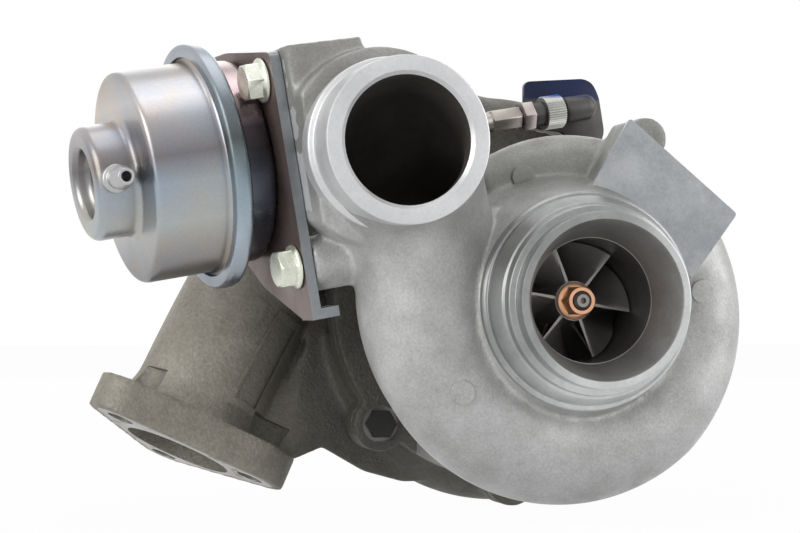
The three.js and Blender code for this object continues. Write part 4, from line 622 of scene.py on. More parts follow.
can_zinc = finish("can_zinc", cool_clouds, 0.8, (0.24, 0.34), fine, 0.005, 40, bands=reflection_bands_on_can(
    31, (0.0, (0.035, 0.03, 0.034)), (0.12, (0.05, 0.048, 0.055)), (0.3, (0.095, 0.11, 0.14)),
    (0.42, (0.085, 0.095, 0.12)), (0.53, (0.035, 0.032, 0.036)), (0.64, (0.045, 0.036, 0.042)),
    (0.74, (0.26, 0.20, 0.23)), (0.86, (0.60, 0.48, 0.49)), (1.0, (0.34, 0.27, 0.26))))
violet_zinc = finish("violet_zinc", ((0.10, 0.08, 0.10), (0.22, 0.19, 0.24)), 0.8, (0.24, 0.34), fine, 0.006,
                     26)
slate_zinc = finish("slate_zinc", ((0.19, 0.205, 0.22), (0.28, 0.295, 0.30)), 0.7, (0.28, 0.4), fine, 0.008,
                    40)
brown_zinc = finish("brown_zinc", ((0.13, 0.092, 0.084), (0.22, 0.17, 0.155)), 0.6, (0.3, 0.42), fine, 0.01,
                    40)
green_zinc = finish("green_zinc", ((0.58, 0.61, 0.50), (0.80, 0.81, 0.72)), 0.7, bright, fine, 0.01, 120)
rod_steel = finish("rod_steel", ((0.30, 0.27, 0.24), (0.44, 0.41, 0.38)), 0.85, (0.26, 0.4), fine, 0.01, 60)
nut_zinc = finish("nut_zinc", ((0.42, 0.37, 0.36), (0.60, 0.54, 0.53)), 0.8, bright, fine, 0.008, 90)
blue_paint, no_paint = (0.06, 0.16, 0.75), (1, 1, 1)


def paint_band(start, end):
    """Blue from a height on the shaft's frame upwards, with a soft brush edge."""
    return shaft_origin, (0, 0, 1), start, end, [(0.0, no_paint), (0.45, no_paint), (0.55, blue_paint)]


black_steel = finish("black_steel", ((0.05, 0.048, 0.045), (0.09, 0.085, 0.08)), 0.45, (0.34, 0.5), 2000,
                     0.02, 60, bands=paint_band(60, 70.5))
knurled_steel = finish("knurled_steel", ((0.44, 0.44, 0.42), (0.58, 0.58, 0.55)), 0.85, (0.26, 0.38), fine,
                       0.006, bands=paint_band(59.5, 71))
print(len(bpy.data.materials), "finishes")

# %% [markdown]
# ## The compressor cover
# The air passage grows as it goes round the wheel, so its skin is a loft of circles whose radius rises
# steadily with the angle. The last turn bends out of the wheel's plane to the outlet. The snout, the outlet
# and the bracket's face are cut afterwards, where the machined finish shows.

# %% Volute and outlet routes
volute_start_angle, volute_end_angle = 125, -180
volute_radii = (5.6, 17.0)
volute_inner_radii = (32.5, 25.3)
volute_draw_shares = (0.57, 0.9)
volute_wall, outlet_wall = 3.75, 5.3
outlet_place = np.array([-57.8, -60.0, 43.7])
outlet_yaw = math.radians(2.5)
outlet_heading = np.array([math.sin(outlet_yaw), -math.cos(outlet_yaw), 0])
outlet_bore = 18.0
outlet_rise_share = 0.62


def lerp(a, b, s):
    """a plus s times the way to b."""
    return a + (b - a) * s


def rings_along(centre, ahead, out, radius, sides=64):
    """Circles about the stops of a route: centre + radius (cos t out + sin t side), square to the heading."""
    ahead = ahead / np.linalg.norm(ahead, axis=1, keepdims=True)
    out = out - (out * ahead).sum(1, keepdims=True) * ahead
    out = out / np.linalg.norm(out, axis=1, keepdims=True)
    side = np.cross(out, ahead)
    t = np.linspace(0, 2 * np.pi, sides, endpoint=False)[None, :, None]
    return centre[:, None] + radius[:, None, None] * (np.cos(t) * out[:, None] + np.sin(t) * side[:, None])


def stops_round(radius, station, angle):
    """Places round the shaft, the way on at each, and the way out. The way on is the way out, turned back by
    a quarter."""
    x, z = polar(radius, angle)
    out_x, out_z = polar(1, angle)
    return (np.stack([x, station, z], -1), np.stack([out_z, 0 * angle, -out_x], -1),
            np.stack([out_x, 0 * angle, out_z], -1))


def end_to_end(*routes):
    """Routes joined in order. A route holds its places, headings, ways out and radii."""
    return [np.concatenate(stops) for stops in zip(*routes)]


def cut_short(route, first, last):
    """The stops of a route between two counts."""
    return [stops[first:last] for stops in route]


def bezier(a, b, c, d, s):
    """A cubic curve through its end points and its direction there."""
    s = s[:, None]
    place = (1 - s) ** 3 * a + 3 * s * (1 - s) ** 2 * b + 3 * s ** 2 * (1 - s) * c + s ** 3 * d
    heading = 3 * (1 - s) ** 2 * (b - a) + 6 * s * (1 - s) * (c - b) + 3 * s ** 2 * (d - c)
    return place, heading


def volute_route(steps=150, bend_steps=44):
    """Angle, radius and inner radius rise with the share of the way round, then a cubic bend leads to the
    outlet. Gives centres, headings, outward directions, radii and walls."""
    s = np.linspace(0, 1, steps)
    angle = lerp(volute_start_angle, volute_end_angle, s)
    radius = lerp(*volute_radii, s)
    drawn = np.clip((s - volute_draw_shares[0]) / (volute_draw_shares[1] - volute_draw_shares[0]), 0, 1)
    centre, ahead, out = stops_round(lerp(*volute_inner_radii, drawn) + radius, -1 - radius, angle)
    reach = outlet_place[2] * outlet_rise_share
    first, last = centre[-1], outlet_place
    b = np.linspace(0, 1, bend_steps)[1:]
    place, heading = bezier(first, first + ahead[-1] * reach, last - outlet_heading * reach, last, b)
    walls = np.concatenate([np.full(steps, volute_wall), lerp(volute_wall, outlet_wall, b)])
    bend = (place, heading, np.tile(out[-1], (len(b), 1)), lerp(volute_radii[1], outlet_bore, b))
    return end_to_end((centre, ahead, out, radius), bend), walls


route, walls = volute_route()
centres, headings, outs, radii = route
volute_skin = loft(rings_along(*cut_short((centres, headings, outs, radii + walls), None, -2)))
first_open, past_mouth = 10, 3
mouth = ([outlet_place + outlet_heading * past_mouth], [outlet_heading], outs[-1:], radii[-1:])
volute_bore = loft(rings_along(*end_to_end(cut_short(route, first_open, None), mouth)))
print("volute stops", len(centres))

# %% Cover bodies
core = lathe([(0, -49), (26.4, -49), (29.6, -40), (31.4, -37), (33.5, -30), (37, -20), (42, -10), (47.6, -5),
              (48, -4), (48, 9), (0, 9)])
snout = turned([(0, -57), (25, -57), (25, -51.2), (26.9, -50.8), (27.2, -49.4), (27.2, -47.8), (28, -47.4),
                (30.1, -42.6), (30.1, -40.6), (30.9, -40.4), (31.7, -39.4), (31.7, -37.6), (29, -36.4),
                (0, -36.4)], 0.35)
inward = -outlet_heading
outlet_reach = 60


def at_reach(reach):
    """The place on the outlet's axis at a distance in front of the wheel's back plane."""
    return outlet_place + inward * (outlet_reach - reach)


collar = aimed(turned([(0, 0), (28.5, 0), (28.5, 17), (17, 26), (0, 26)], 1.2), at_reach(35), inward)
outlet_tube = aimed(turned([(0, 0), (23.3, 0), (23.3, 13.6), (22.9, 14.2), (22.9, 15.6), (24.6, 16.2),
                            (24.6, 19), (23.9, 20), (23.9, 26), (0, 26)], 0.5), outlet_place, inward)
web = prism([(-92, 44), (-57.8, 44), (-64.5, 75.5), (-92, 71.5)], -30, -12)
bracket_face = -3.5
bracket_bolts = [(-29.7, 21.3), (-31.76, -33.25)]
bosses = [moved(shifted(post(8, bracket_face - 22, bracket_face), (across, 0, up)), rod_to_shaft)
          for across, up in bracket_bolts]


def rounded_rectangle(width, height, radius):
    """Four quarter circles joined by straight sides."""
    x, z = width / 2 - radius, height / 2 - radius
    return np.concatenate([arc((x, z), radius, 0, 90, 6), arc((-x, z), radius, 90, 180, 6),
                           arc((-x, -z), radius, 180, 270, 6), arc((x, -z), radius, 270, 360, 6)])


def drawn_in(outline, shares):
    """An outline drawn in towards the middle of its corners."""
    return outline.mean(0) + (outline - outline.mean(0)) * shares


pad_angle, pad_radius = 48, 38.5
pad_x, pad_z = polar(pad_radius, pad_angle)
gusset_outline = np.array([(-35.5, 27.5), (-23.5, 27.5), (-29.5, 10.5), (-35.5, 10.5)])
cover_gusset = prism(gusset_outline, -26, -8)
gusset_dip = prism(drawn_in(gusset_outline, 0.55), -30, -24.4)
pad = shifted(spun(prism(rounded_rectangle(39, 23, 2.5), -28, -10), pad_angle - 90), (pad_x, 0, pad_z))
lug = prism(bar_outline((28.3, 49.4), (22.2, 36.6), 6.5, 6.5), -12, 0)
plate_corners = [(16.9, 53.9), (50.5, 26.0), (36.2, 6.8), (4.8, 33.4)]
plate_seat = prism(softened(plate_corners, 2), -27.6, -14)
cover_plate = prism(softened(plate_corners, 1.2), -28.5, -27)
far = 300
beyond_face = moved(block((-far, -far), (far, far), bracket_face, far), rod_to_shaft)
bracket_room = moved(block((-43.6, -far), (30.3, far), bracket_face, far), rod_to_shaft)

# %% Cover casting
cover_voxel, cover_rounds = 0.8, 8


def skin_behind_face(skin):
    """The skin of a body in the main frame, with what lies beyond the bracket's face cut off."""
    made = machined(*bodies(cast_aluminium, skin), removed=bodies(cast_aluminium, beyond_face))
    corners = np.zeros(len(made.data.vertices) * 3)
    made.data.vertices.foreach_get("co", corners)
    faces = [list(face.vertices) for face in made.data.polygons]
    bpy.data.objects.remove(made)
    return (corners.reshape(-1, 3) - shaft_origin) / mm, faces


cover_skins = [core, volute_skin, skin_behind_face(collar), skin_behind_face(web), *bosses, pad, plate_seat,
               lug, cover_gusset]
cover = fused("compressor_cover_casting", cover_skins, cover_voxel, cover_rounds, cast_aluminium)
print("cover", len(cover.data.polygons), "faces after the remesh")

# %% Cover machining
wheel_gap, shroud_straight, cover_crease = 0.46, 0.34, 24
inducer_radius, exducer_radius, wheel_length, exducer_width = 17.5, 24.5, 27.0, 3.2


def meridian(share, start, end, straight_share):
    """An edge that runs along the shaft for a share of its way, then follows a quarter ellipse outwards."""
    share = np.asarray(share, float)
    turn = np.clip((share - straight_share) / (1 - straight_share), 0, 1) * np.pi / 2
    bend = lerp(start[1], end[1], straight_share)
    straight = share < straight_share
    radius = np.where(straight, start[0], lerp(end[0], start[0], np.cos(turn)))
    station = np.where(straight, lerp(start[1], end[1], share), lerp(bend, end[1], np.sin(turn)))
    return np.stack([radius, station], -1)


contour = meridian(np.linspace(0, 1, 24), (inducer_radius + wheel_gap, 0.5 - wheel_length),
                   (exducer_radius + wheel_gap, -exducer_width - wheel_gap), shroud_straight)
inlet_cone = lathe([(0, -60), (22.84, -60), (22.84, -57), (22.4, -56.4), (18.2, -43.6), (18.2, -42.8),
                    (0, -42.8)])
wheel_bore = lathe([(0, -43.4), (inducer_radius + wheel_gap, -43.4), *contour, (24.96, -3.5), (42, -3.5),
                    (42, 0.3), (44, 0.3), (44, 12), (0, 12)])
outlet_mouth = aimed(lathe([(0, -3), (19, -3), (19, 0), (18, 1), (0, 1)]), outlet_place, inward)
bolt_hole = post(3.3, -17.5, 3)
bolt_holes = [moved(shifted(bolt_hole, (across, 0, up)), rod_to_shaft) for across, up in bracket_bolts]
snap_groove = lathe([(0, 6.1), (45.5, 6.1), (45.5, 7.9), (0, 7.9)])
dot_radius, dot_rise, dot_depth = 3.6, 0.9, 4


def raised_spot(reach, angle, station):
    """A low round spot at a radius and angle, standing a little in front of the casting's skin there."""
    x, z = polar(reach, angle)
    return shifted(post(dot_radius, -station - dot_rise, -station + dot_depth, edge=0.35), (x, 0, z))


dots = [raised_spot(*spot) for spot in
        ((44.7, -144, 35.6), (43.5, -71, 29.0), (41.0, 4, 24.3), (38.7, 109, 17.4))]
cover = machined(
    cover,
    added=[*bodies(turned_aluminium, snout), *bodies(flat_aluminium, outlet_tube),
           *bodies(cast_aluminium, *dots), *bodies(plate_aluminium, cover_plate)],
    removed=[*bodies(shaded_bore_aluminium, wheel_bore), *bodies(shaded_cone_aluminium, inlet_cone),
             *bodies(cast_aluminium, gusset_dip), *bodies(shaded_inner_aluminium, volute_bore),
             *bodies(flat_aluminium, outlet_mouth), *bodies(turned_aluminium, snap_groove),
             *bodies(flat_aluminium, bracket_room, *bolt_holes)],
)
finished(cover, "housing", ["compressor_cover"], cover_crease)

# %% [markdown]
# ## Compressor wheel
# A compressor blade is a sheet between the hub's line and the shroud's line. It leans towards the inlet and
# straightens on its way out. It is worked out on a grid, given its thickness to both sides and closed.

# %% Blades


def blade_skin(root, tip, angle, thickness, span_steps=10):
    """A point is at share s along the flow and v up the span: radius and station go from root to tip, and the
    angle is the flow's angle plus half the thickness over the radius to each side, thinning towards the
    tip."""
    v = np.linspace(0, 1, span_steps)[None, :, None]
    line = root[:, None] * (1 - v) + tip[:, None] * v
    thick = thickness * (1.25 - 0.7 * v[..., 0])
    faces_of = []
    for side in (-1, 1):
        t = np.radians(angle)[:, None] + side * thick / 2 / line[..., 0]
        faces_of.append(np.stack([line[..., 0] * np.cos(t), line[..., 1], line[..., 0] * np.sin(t)], -1))
    loop = np.concatenate([faces_of[0], faces_of[1][:, ::-1]], axis=1)
    return loft(loop)


blade_count, blade_steps, splitter_start, hub_straight, wheel_crease = 6, 30, 0.36, 0.08, 40
first_blade, first_splitter = -10, 20
full_share = np.linspace(0, 1, blade_steps)
splitter_share = np.linspace(splitter_start, 1, blade_steps)


def hub_line(share):
    """The hub's meridian line."""
    return meridian(share, (5.8, -wheel_length), (exducer_radius, -1.2), hub_straight)


blade_wrap, blade_lead, blade_thickness = 62, 2.2, 0.75


def compressor_blade(share, start):
    """Root just under the hub, tip on the shroud line. The angle runs ahead by the wrap times one less the
    power of what is left of the share, so a blade lies broad to the inlet and stands straight at its way
    out."""
    root = hub_line(share) + np.array([-0.5, 0.5])
    tip = meridian(share, (inducer_radius, 0.5 - wheel_length), (exducer_radius, -exducer_width),
                   shroud_straight)
    return blade_skin(root, tip, start + blade_wrap * (1 - (1 - share) ** blade_lead), blade_thickness)


hub = lathe([(2.9, -wheel_length), *hub_line(full_share), (exducer_radius, 0), (2.9, 0)], 96)
pitch = 360 / blade_count
blades = [compressor_blade(full_share, pitch * k + first_blade) for k in range(blade_count)]
blades += [compressor_blade(splitter_share, pitch * k + first_splitter) for k in range(blade_count)]
wheel = machined(mesh_object("compressor_wheel_hub", [hub], wheel_aluminium),
                 added=bodies(wheel_aluminium, *blades))
wheel.name = "compressor_wheel_milled"
finished(wheel, "rotor", ["compressor_wheel"], wheel_crease)

# %% [markdown]
# ## Shaft nut
# The nut has a hexagon that stands on a round flange. What a hexagon shares with a turned crown has the rounded
# corners of a real nut, which an even bevel would not give.

# %% Nut
nut_back = -wheel_length - 0.3
nut_flange = lathe(softened([(2.9, nut_back), (5.3, nut_back), (5.5, nut_back - 1.1), (4.4, nut_back - 1.5),
                             (2.9, nut_back - 1.5)], 0.2), 64)
nut_crown = lathe([(0, nut_back - 7.1), (3.9, nut_back - 7.1), (4.62, nut_back - 6.3), (4.62, nut_back - 1),
                   (0, nut_back - 1)], 64)
nut = machined(mesh_object("shaft_nut_hex", [prism(hexagon(8), nut_back - 7.1, nut_back - 0.4)], copper),
               shared=bodies(copper, nut_crown))
nut_bore = post(2.9, nut_back - 9, nut_back + 1)
nut = machined(nut, added=bodies(copper, nut_flange), removed=bodies(copper, nut_bore))
finished(bevelled(nut, 0.12), "rotor", ["shaft_nut"])

# %% [markdown]
# ## Turbine housing
# The exhaust duct swells out of a three-cornered flange and curls into the scroll. It is sand-cast iron, so
# it is fused from skins like the cover, with a coarser grain. The raised frame and the round spot on the duct
# are marks that a foundry's pattern leaves, and they follow the duct because they are its own skin, enlarged.

# %% Scroll route
flange_normal = np.array([-0.42, -0.12, -0.9])
flange_normal /= np.linalg.norm(flange_normal)
flange_place = np.array([-103.5, 68.0, -47.8])
flange_along = np.array([-flange_normal[2], 0, flange_normal[0]])
flange_along /= np.linalg.norm(flange_along)
flange_across = np.cross(flange_along, flange_normal)
duct_angle, shoulder_angle, tail_angle = 149, 90, -170
duct_radius, shoulder_radius, tail_radius = 17.5, 13.0, 8.0
scroll_inner, duct_shift, scroll_wall, scroll_front = 38.5, 12.5, 4.4, 57.0
duct_bend_share, tail_stops = 0.35, 10


def on_flange(points):
    """Flange millimetres to the main frame: X along its straight edge, Y out of its face."""
    return np.asarray(points, float) @ np.stack([flange_along, flange_normal, flange_across]) + flange_place


def scroll_route(steps=150, duct_steps=40):
    """A cubic bend from the flange to the scroll's entry, and then circles whose radius falls with the angle:
    steadily over the duct, and with the cube of the share over the tail."""
    angle = np.linspace(duct_angle, tail_angle, steps)
    on_duct = np.clip((angle - shoulder_angle) / (duct_angle - shoulder_angle), 0, None)
    on_tail = np.clip((shoulder_angle - angle) / (shoulder_angle - tail_angle), 0, None)
    radius = np.where(on_duct > 0, lerp(shoulder_radius, duct_radius, on_duct),
                      lerp(shoulder_radius, tail_radius, on_tail ** 3))
    centre, ahead, out = stops_round(scroll_inner + radius + duct_shift * on_duct, scroll_front + radius,
                                     angle)
    reach = np.linalg.norm(centre[0] - flange_place) * duct_bend_share
    b = np.linspace(0, 1, duct_steps)[:-1]
    place, heading = bezier(flange_place, flange_place - flange_normal * reach, centre[0] - ahead[0] * reach,
                            centre[0], b)
    duct = (place, heading, np.tile(out[0], (len(b), 1)), np.full(len(b), duct_radius))
    return end_to_end(duct, (centre, ahead, out, radius))


route = scroll_route()
centres, headings, outs, radii = route
from_flange = np.linalg.norm(centres - flange_place, axis=1)
flare_height, flare_end, flare_length, flare_start = 3.0, 20, 9, 10.5
flare = np.clip((flare_end - from_flange) / flare_length, 0, 1) ** 2 * (from_flange > flare_start)
scroll_skin = loft(rings_along(centres, headings, outs, radii + scroll_wall + flare_height * flare))
relief_height, relief_stops = 0.7, 100
relief_route = (centres, headings, outs, radii + scroll_wall + relief_height)
relief_skin = loft(rings_along(*cut_short(relief_route, None, relief_stops)))
mouth = ([flange_place + flange_normal * past_mouth], headings[:1], outs[:1], radii[:1])
scroll_bore = loft(rings_along(*end_to_end(mouth, cut_short(route, None, -tail_stops))))
print("scroll stops", len(centres))

# %% Flange, ears and rib
flange_foot, flange_apex, flange_side, flange_thick = -24.36, 24.64, 22.75, 11.5
flange_corner, flange_tip = 11.0, 9.0
flange_lean = math.degrees(math.atan2(flange_apex - flange_foot - flange_corner, flange_side))
flange_outline = np.concatenate([
    arc((-flange_side, flange_foot + flange_corner), flange_corner, 90 + flange_lean, 270),
    arc((flange_side, flange_foot + flange_corner), flange_corner, -90, 90 - flange_lean),
    arc((0, flange_apex), flange_tip, 90 - flange_lean, 90 + flange_lean)])
flange = moved(prism(flange_outline, -flange_thick, 0), on_flange)
flange_holes = [(-flange_side, flange_foot + flange_corner), (flange_side, flange_foot + flange_corner),
                (0, flange_apex)]
ear_angles = (-137, -88, -25, 35, 110, 165)
ear_circle, ear_radius = 57.0, 8.8


def at_ear(skin, angle):
    """The skin moved to an ear on the bolt circle."""
    x, z = polar(ear_circle, angle)
    return shifted(skin, (x, 0, z))


turbine_front = 48.3
rib_shares = [(1.25, -147), (1.27, -142.6), (1.12, -140.5), (1.06, -128), (1, -117), (0.9, -100), (0.6, -120),
              (0.9, 175)]
rib = prism([polar(66 * reach, angle) for reach, angle in rib_shares], 60.5, 65.5)
gusset = prism([(-62, -12), (-52, -18), (-49.2, -42.3), (-53.2, -46.4), (-58.2, -46.0), (-63.2, -47.0),
                (-68.2, -51.6), (-79, -45)], 61, 68)
neck = lathe([(0, 52.6), (36, 52.6), (36, 83), (27, 87), (27, 91), (0, 91)])
disc = lathe([(0, turbine_front), (57, turbine_front), (57, 56.7), (0, 56.7)])
ears = [at_ear(post(ear_radius, turbine_front, 57.3), angle) for angle in ear_angles]
turbine_skins = [disc, neck, scroll_skin, flange, rib, gusset, *ears]
turbine_casting = fused("turbine_housing_casting", turbine_skins, 0.9, 7, cast_iron)
print("turbine housing", len(turbine_casting.data.polygons), "faces after the remesh")

# %% Turbine housing machining
turbine_tip = meridian(np.linspace(0, 1, 20), (18.96, 76.2), (21.96, 65.3), 0.25)[::-1]
exhaust_lip = turned([(0, 88), (27, 88), (27, 91.5), (31, 95), (31, 100), (0, 100)], 0.5)
wheel_room = lathe([(0, 45), (43.8, 45), (43.8, 58), (45, 58), (45, 65.3), *turbine_tip, (22.5, 95),
                    (22.5, 103), (0, 103)])
crank_place = polar(46, 60)
crank_offset = (crank_place[0], 0, crank_place[1])
crank_pocket = shifted(prism(bar_outline((0, 0), polar(7, 240), 3.9, 3.9), 45, 54.8), crank_offset)
land = moved(prism(flange_outline * 1.2, 0, 5), on_flange)
frame_corners = np.array([(-72.9, -2.5), (-64.4, -7.6), (-81.6, -36.2), (-90.6, -31.3)])


def relief(outline, inner=None):
    """The duct's skin with a little more radius, kept only inside an outline, so it stands up from the
    duct."""
    raised = machined(mesh_object("relief", [relief_skin], cast_iron),
                      shared=bodies(cast_iron, prism(outline, 30, 62)))
    return raised if inner is None else machined(raised, removed=bodies(cast_iron, prism(inner, 20, 70)))


raised_frame = relief(frame_corners, drawn_in(frame_corners, [0.8, 0.88]))
raised_dot = relief(circle(4.1, 48, (-81.3, -2.2)))
flange_bolts, spot_faces = ([moved(shifted(skin, (x, 0, z)), on_flange) for x, z in flange_holes]
                            for skin in (post(4.3, -14, 5), post(7.5, -20, -flange_thick)))
ear_holes = [at_ear(post(3.1, 45, 54.7), angle) for angle in ear_angles]
turbine_casting = machined(
    turbine_casting,
    added=[*bodies(machined_iron, exhaust_lip), raised_frame, raised_dot],
    removed=[*bodies(machined_iron, wheel_room), *bodies(cast_iron, scroll_bore),
             *bodies(machined_iron, crank_pocket, land, *flange_bolts), *bodies(cast_iron, *spot_faces),
             *bodies(machined_iron, *ear_holes)],
)
finished(turbine_casting, "housing", ["turbine_housing"])

# %% [markdown]
# ## Bearing housing
# The iron body between the two ends holds the bearings and has oil pads on its top and foot. Little of it is
# seen, so a few turned and square skins are fused, and the faces that a machine shop would cut are cut.

# %% Bearing housing
housing_front = 9.4
bearing_skins = [
    lathe([(0, housing_front), (28, housing_front), (28, 13.4), (23, 17.4), (23, 35), (31, 43), (57, 43),
           (57, 48), (0, 48)]),
    block((-11, 0), (11, 36), 14, 36),
    block((-11, -39), (11, 0), 14, 36),
    block((-20, -45), (20, -39), 10, 40),
    *(at_ear(post(ear_radius, 43, 48), angle) for angle in ear_angles),
]
bearing_casting = fused("bearing_housing_casting", bearing_skins, 0.8, 4, cast_iron)
bearing_bore = lathe([(0, 5), (16.3, 5), (16.3, 14.9), (8.35, 14.9), (8.35, 37.6), (7.75, 37.6), (7.75, 52),
                      (0, 52)])
oil_inlet = aimed(post(3.5, 4, 40), (0, 25, 0), (0, 0, 1))
oil_drain = aimed(post(8, 0, 49), (0, 25, 0), (0, 0, -1))
inlet_face = block((-20, 36), (20, 50), 5, 40)
drain_face = block((-30, -60), (30, -45), 5, 45)
bush_seat = shifted(post(6.3, 40, 52), crank_offset)
recesses = [at_ear(post(6, 40, 45.4), angle) for angle in ear_angles]
ear_holes = [at_ear(post(3.1, 44, 52), angle) for angle in ear_angles]
bearing_casting = machined(
    bearing_casting,
    removed=bodies(machined_iron, bearing_bore, post(80, 48, 55, 96), oil_inlet, oil_drain, inlet_face,
                   drain_face, bush_seat, *recesses, *ear_holes),
)
finished(bearing_casting, "housing", ["bearing_housing"])

# %% [markdown]
# ## Actuator
# Two pressed cups are clamped by a rolled ring. They are profiles of sheet carried round the rod's axis, with
# round corners where the press drew them.

# %% Cups and ring


def rod_piece(name, skins, finish_of, body, nodes, bevel=0.0, crease=32):
    """A piece told in the actuator's frame, with a small round on its edges where asked."""
    made = mesh_object(name, skins, finish_of, on_rod)
    if bevel:
        bevelled(made, bevel)
    return finished(made, body, nodes, crease)


rear_floor, rear_flange = 0.1, 10.4
rear_cup = lathe(softened([(8, rear_floor), (30.4, rear_floor), (30.4, rear_flange), (35.5, rear_flange),
                           (35.5, rear_flange + 1.2), (29.2, rear_flange + 1.2), (29.2, rear_floor + 1.2),
                           (8, rear_floor + 1.2)], 2.6, steps=8))
studs = [shifted(post(2.5, -10.2, 0.7, edge=0.4), (0, 0, side * 20)) for side in (-1, 1)]
rod_piece("rear_cup", [rear_cup, *studs], can_zinc, "housing", ["rear_can"])

cap_flange, cap_front, boss_front = 13.2, 37.1, 49.7
cap_cup = turned([(0, boss_front - 5), (9.6, boss_front - 5), (10.2, boss_front - 1), (11.2, boss_front),
                  (15.6, boss_front), (17, boss_front - 1.6), (17, cap_front), (31.5, cap_front),
                  (31.5, cap_flange + 1.2), (35.5, cap_flange + 1.2), (35.5, cap_flange), (30.3, cap_flange),
                  (30.3, cap_front - 1.2), (15.8, cap_front - 1.2), (15.8, boss_front - 6.2),
                  (0, boss_front - 6.2)], 2.4, steps=8)
rod_piece("cap_cup", [cap_cup], cap_zinc, "housing", ["cap_can"])

ring_front, ring_back = rear_flange - 0.6, cap_flange + 2.1
crimp = lathe(softened([(33, ring_front), (37, ring_front), (37, ring_back), (33, ring_back),
                        (33, ring_back - 0.7), (35.8, ring_back - 1), (35.8, ring_front + 1),
                        (33, ring_front + 0.7)], 2.4, steps=8))
rod_piece("rolled_ring", [crimp], ring_zinc, "housing", ["crimp_ring"])

nipple = aimed(lathe(softened([(1.5, 14.3), (2.4, 14.3), (2.4, 17.3), (4.2, 17.3), (4.2, 19.5), (3, 19.9),
                               (3, 24), (3.6, 24.4), (2.4, 30), (1.5, 30)], 0.3), 48), (0, 44.6, 0),
               (-1, 0, 0))
rod_piece("vacuum_port", [nipple], silver_zinc, "housing", ["vacuum_nipple"])

# %% [markdown]
# ## Bracket and bolts
# The bracket is punched from plate, bent along one edge and plated, and two flanged bolts hold it. An outline
# pulled straight and pierced is closest to how it is made. Its face towards the can is given a darker, browner
# finish than its edges.

# %% Bracket
bracket_thick = 3.0
bracket_left = -0.2
bracket_right = bracket_left - bracket_thick
plate_outline = softened([(-38.6, -49), (-30.9, -49), (0, -39), (23, -25), (30, -11), (30, 21.5), (23, 28.5),
                          (16, 32.5), (0, 32.5), (-38.6, 28.5)], 3, steps=6)
plate = mesh_object("bracket_plate", [prism(plate_outline, bracket_right, bracket_left)], slate_zinc, on_rod)
foot_back = bracket_right - 5.4
foot = bodies(slate_zinc, block((-38.6, -49), (-29.6, -46), foot_back, bracket_left), place=on_rod)
bracket_holes = [(8, 0, 0), (2.8, 0, 20), (2.8, 0, -20), *((3.3, *place) for place in bracket_bolts)]
bracket_cuts = [shifted(post(radius, -9, 3), (across, 0, up)) for radius, across, up in bracket_holes]
plate = machined(plate, added=foot, removed=bodies(slate_zinc, *bracket_cuts, place=on_rod))
bevelled(plate, 0.5)


def faces_towards(made, direction, tone, least=0.8):
    """Gives a finish to the faces whose normal's dot product with a direction is above a limit."""
    made.data.materials.append(tone)
    normals = np.zeros(len(made.data.polygons) * 3)
    made.data.polygons.foreach_get("normal", normals)
    index = np.zeros(len(made.data.polygons), int)
    made.data.polygons.foreach_get("material_index", index)
    index[normals.reshape(-1, 3) @ np.asarray(direction) > least] = len(made.data.materials) - 1
    made.data.polygons.foreach_set("material_index", index)
    return made


finished(faces_towards(plate, slide_axis, brown_zinc), "housing", ["actuator_bracket"])

# %% Bolts
seat = bracket_left + 0.3
head_crown = lathe([(0, seat), (5.9, seat), (5.9, seat + 5.2), (4.7, seat + 6), (0, seat + 6)], 64)
head_washer = turned([(0, seat), (6.6, seat), (6.4, seat + 0.9), (5.2, seat + 1.7), (0, seat + 1.7)], 0.3, 64)
shank = post(3, bracket_right - 14, seat + 3, edge=0.5)
for k, (across, up) in enumerate(bracket_bolts):
    hexagonal = prism(hexagon(10, (across, up)), seat + 1, seat + 6)
    head = mesh_object("bracket_bolt_head_%d" % (k + 1), [hexagonal], green_zinc, on_rod)
    crown, washer, screw = (shifted(skin, (across, 0, up)) for skin in (head_crown, head_washer, shank))
    head = machined(head, shared=bodies(green_zinc, crown, place=on_rod))
    head = machined(head, added=bodies(green_zinc, washer, screw, place=on_rod))
    finished(bevelled(head, 0.15), "housing", ["bracket_bolt_%d" % (k + 1)])

# %% [markdown]
# ## Rod and link plate
# A sleeve on the rod's thread sets its length, with a lock nut to hold it and a knurled band to turn it by hand.
# The knurls are a cosine laid on a circle, as they are too fine to cut one by one. The link plate is pressed
# from sheet, and its pin reaches the lever.

# %% Rod, nuts and link plate
rod = turned([(0, -117.5), (2.4, -117.5), (2.4, -93), (3, -93), (3, 6.95), (0, 6.95)], 0.3, 48)
rod_piece("rod", [rod], rod_steel, "actuator", ["actuator_rod"])
rod_hex = prism(hexagon(6.6), -93, -83)
rod_piece("rod_hexagon", [rod_hex], rod_steel, "actuator", [], 0.3)
locking = mesh_object("locking_nut", [prism(hexagon(8.6), -97.4, -93.8)], nut_zinc, on_rod)
locking = machined(locking, removed=bodies(steel, post(2.7, -110, -90), place=on_rod))
finished(bevelled(locking, 0.4), "actuator", ["lock_nut"])
sleeve_ring = lathe(softened([(2.7, -101.4), (3.9, -101.4), (3.9, -97.8), (2.7, -97.8)], 0.3), 64)
rod_piece("adjuster_body", [sleeve_ring], black_steel, "actuator", ["adjuster_sleeve"])
knurl_count = 42


def knurl_outline():
    """A circle whose radius dips by a cosine with every tooth."""
    t = np.linspace(0, 2 * np.pi, knurl_count * 6, endpoint=False)
    r = 5.15 + 0.2 * np.cos(knurl_count * t)
    return np.stack([r * np.cos(t), r * np.sin(t)], -1)


knurl = mesh_object("knurled_band", [prism(knurl_outline(), -107.8, -101.6)], knurled_steel, on_rod)
knurl = machined(knurl, removed=bodies(steel, post(2.7, -115, -95), place=on_rod))
finished(knurl, "actuator", ["knurled_ring"])

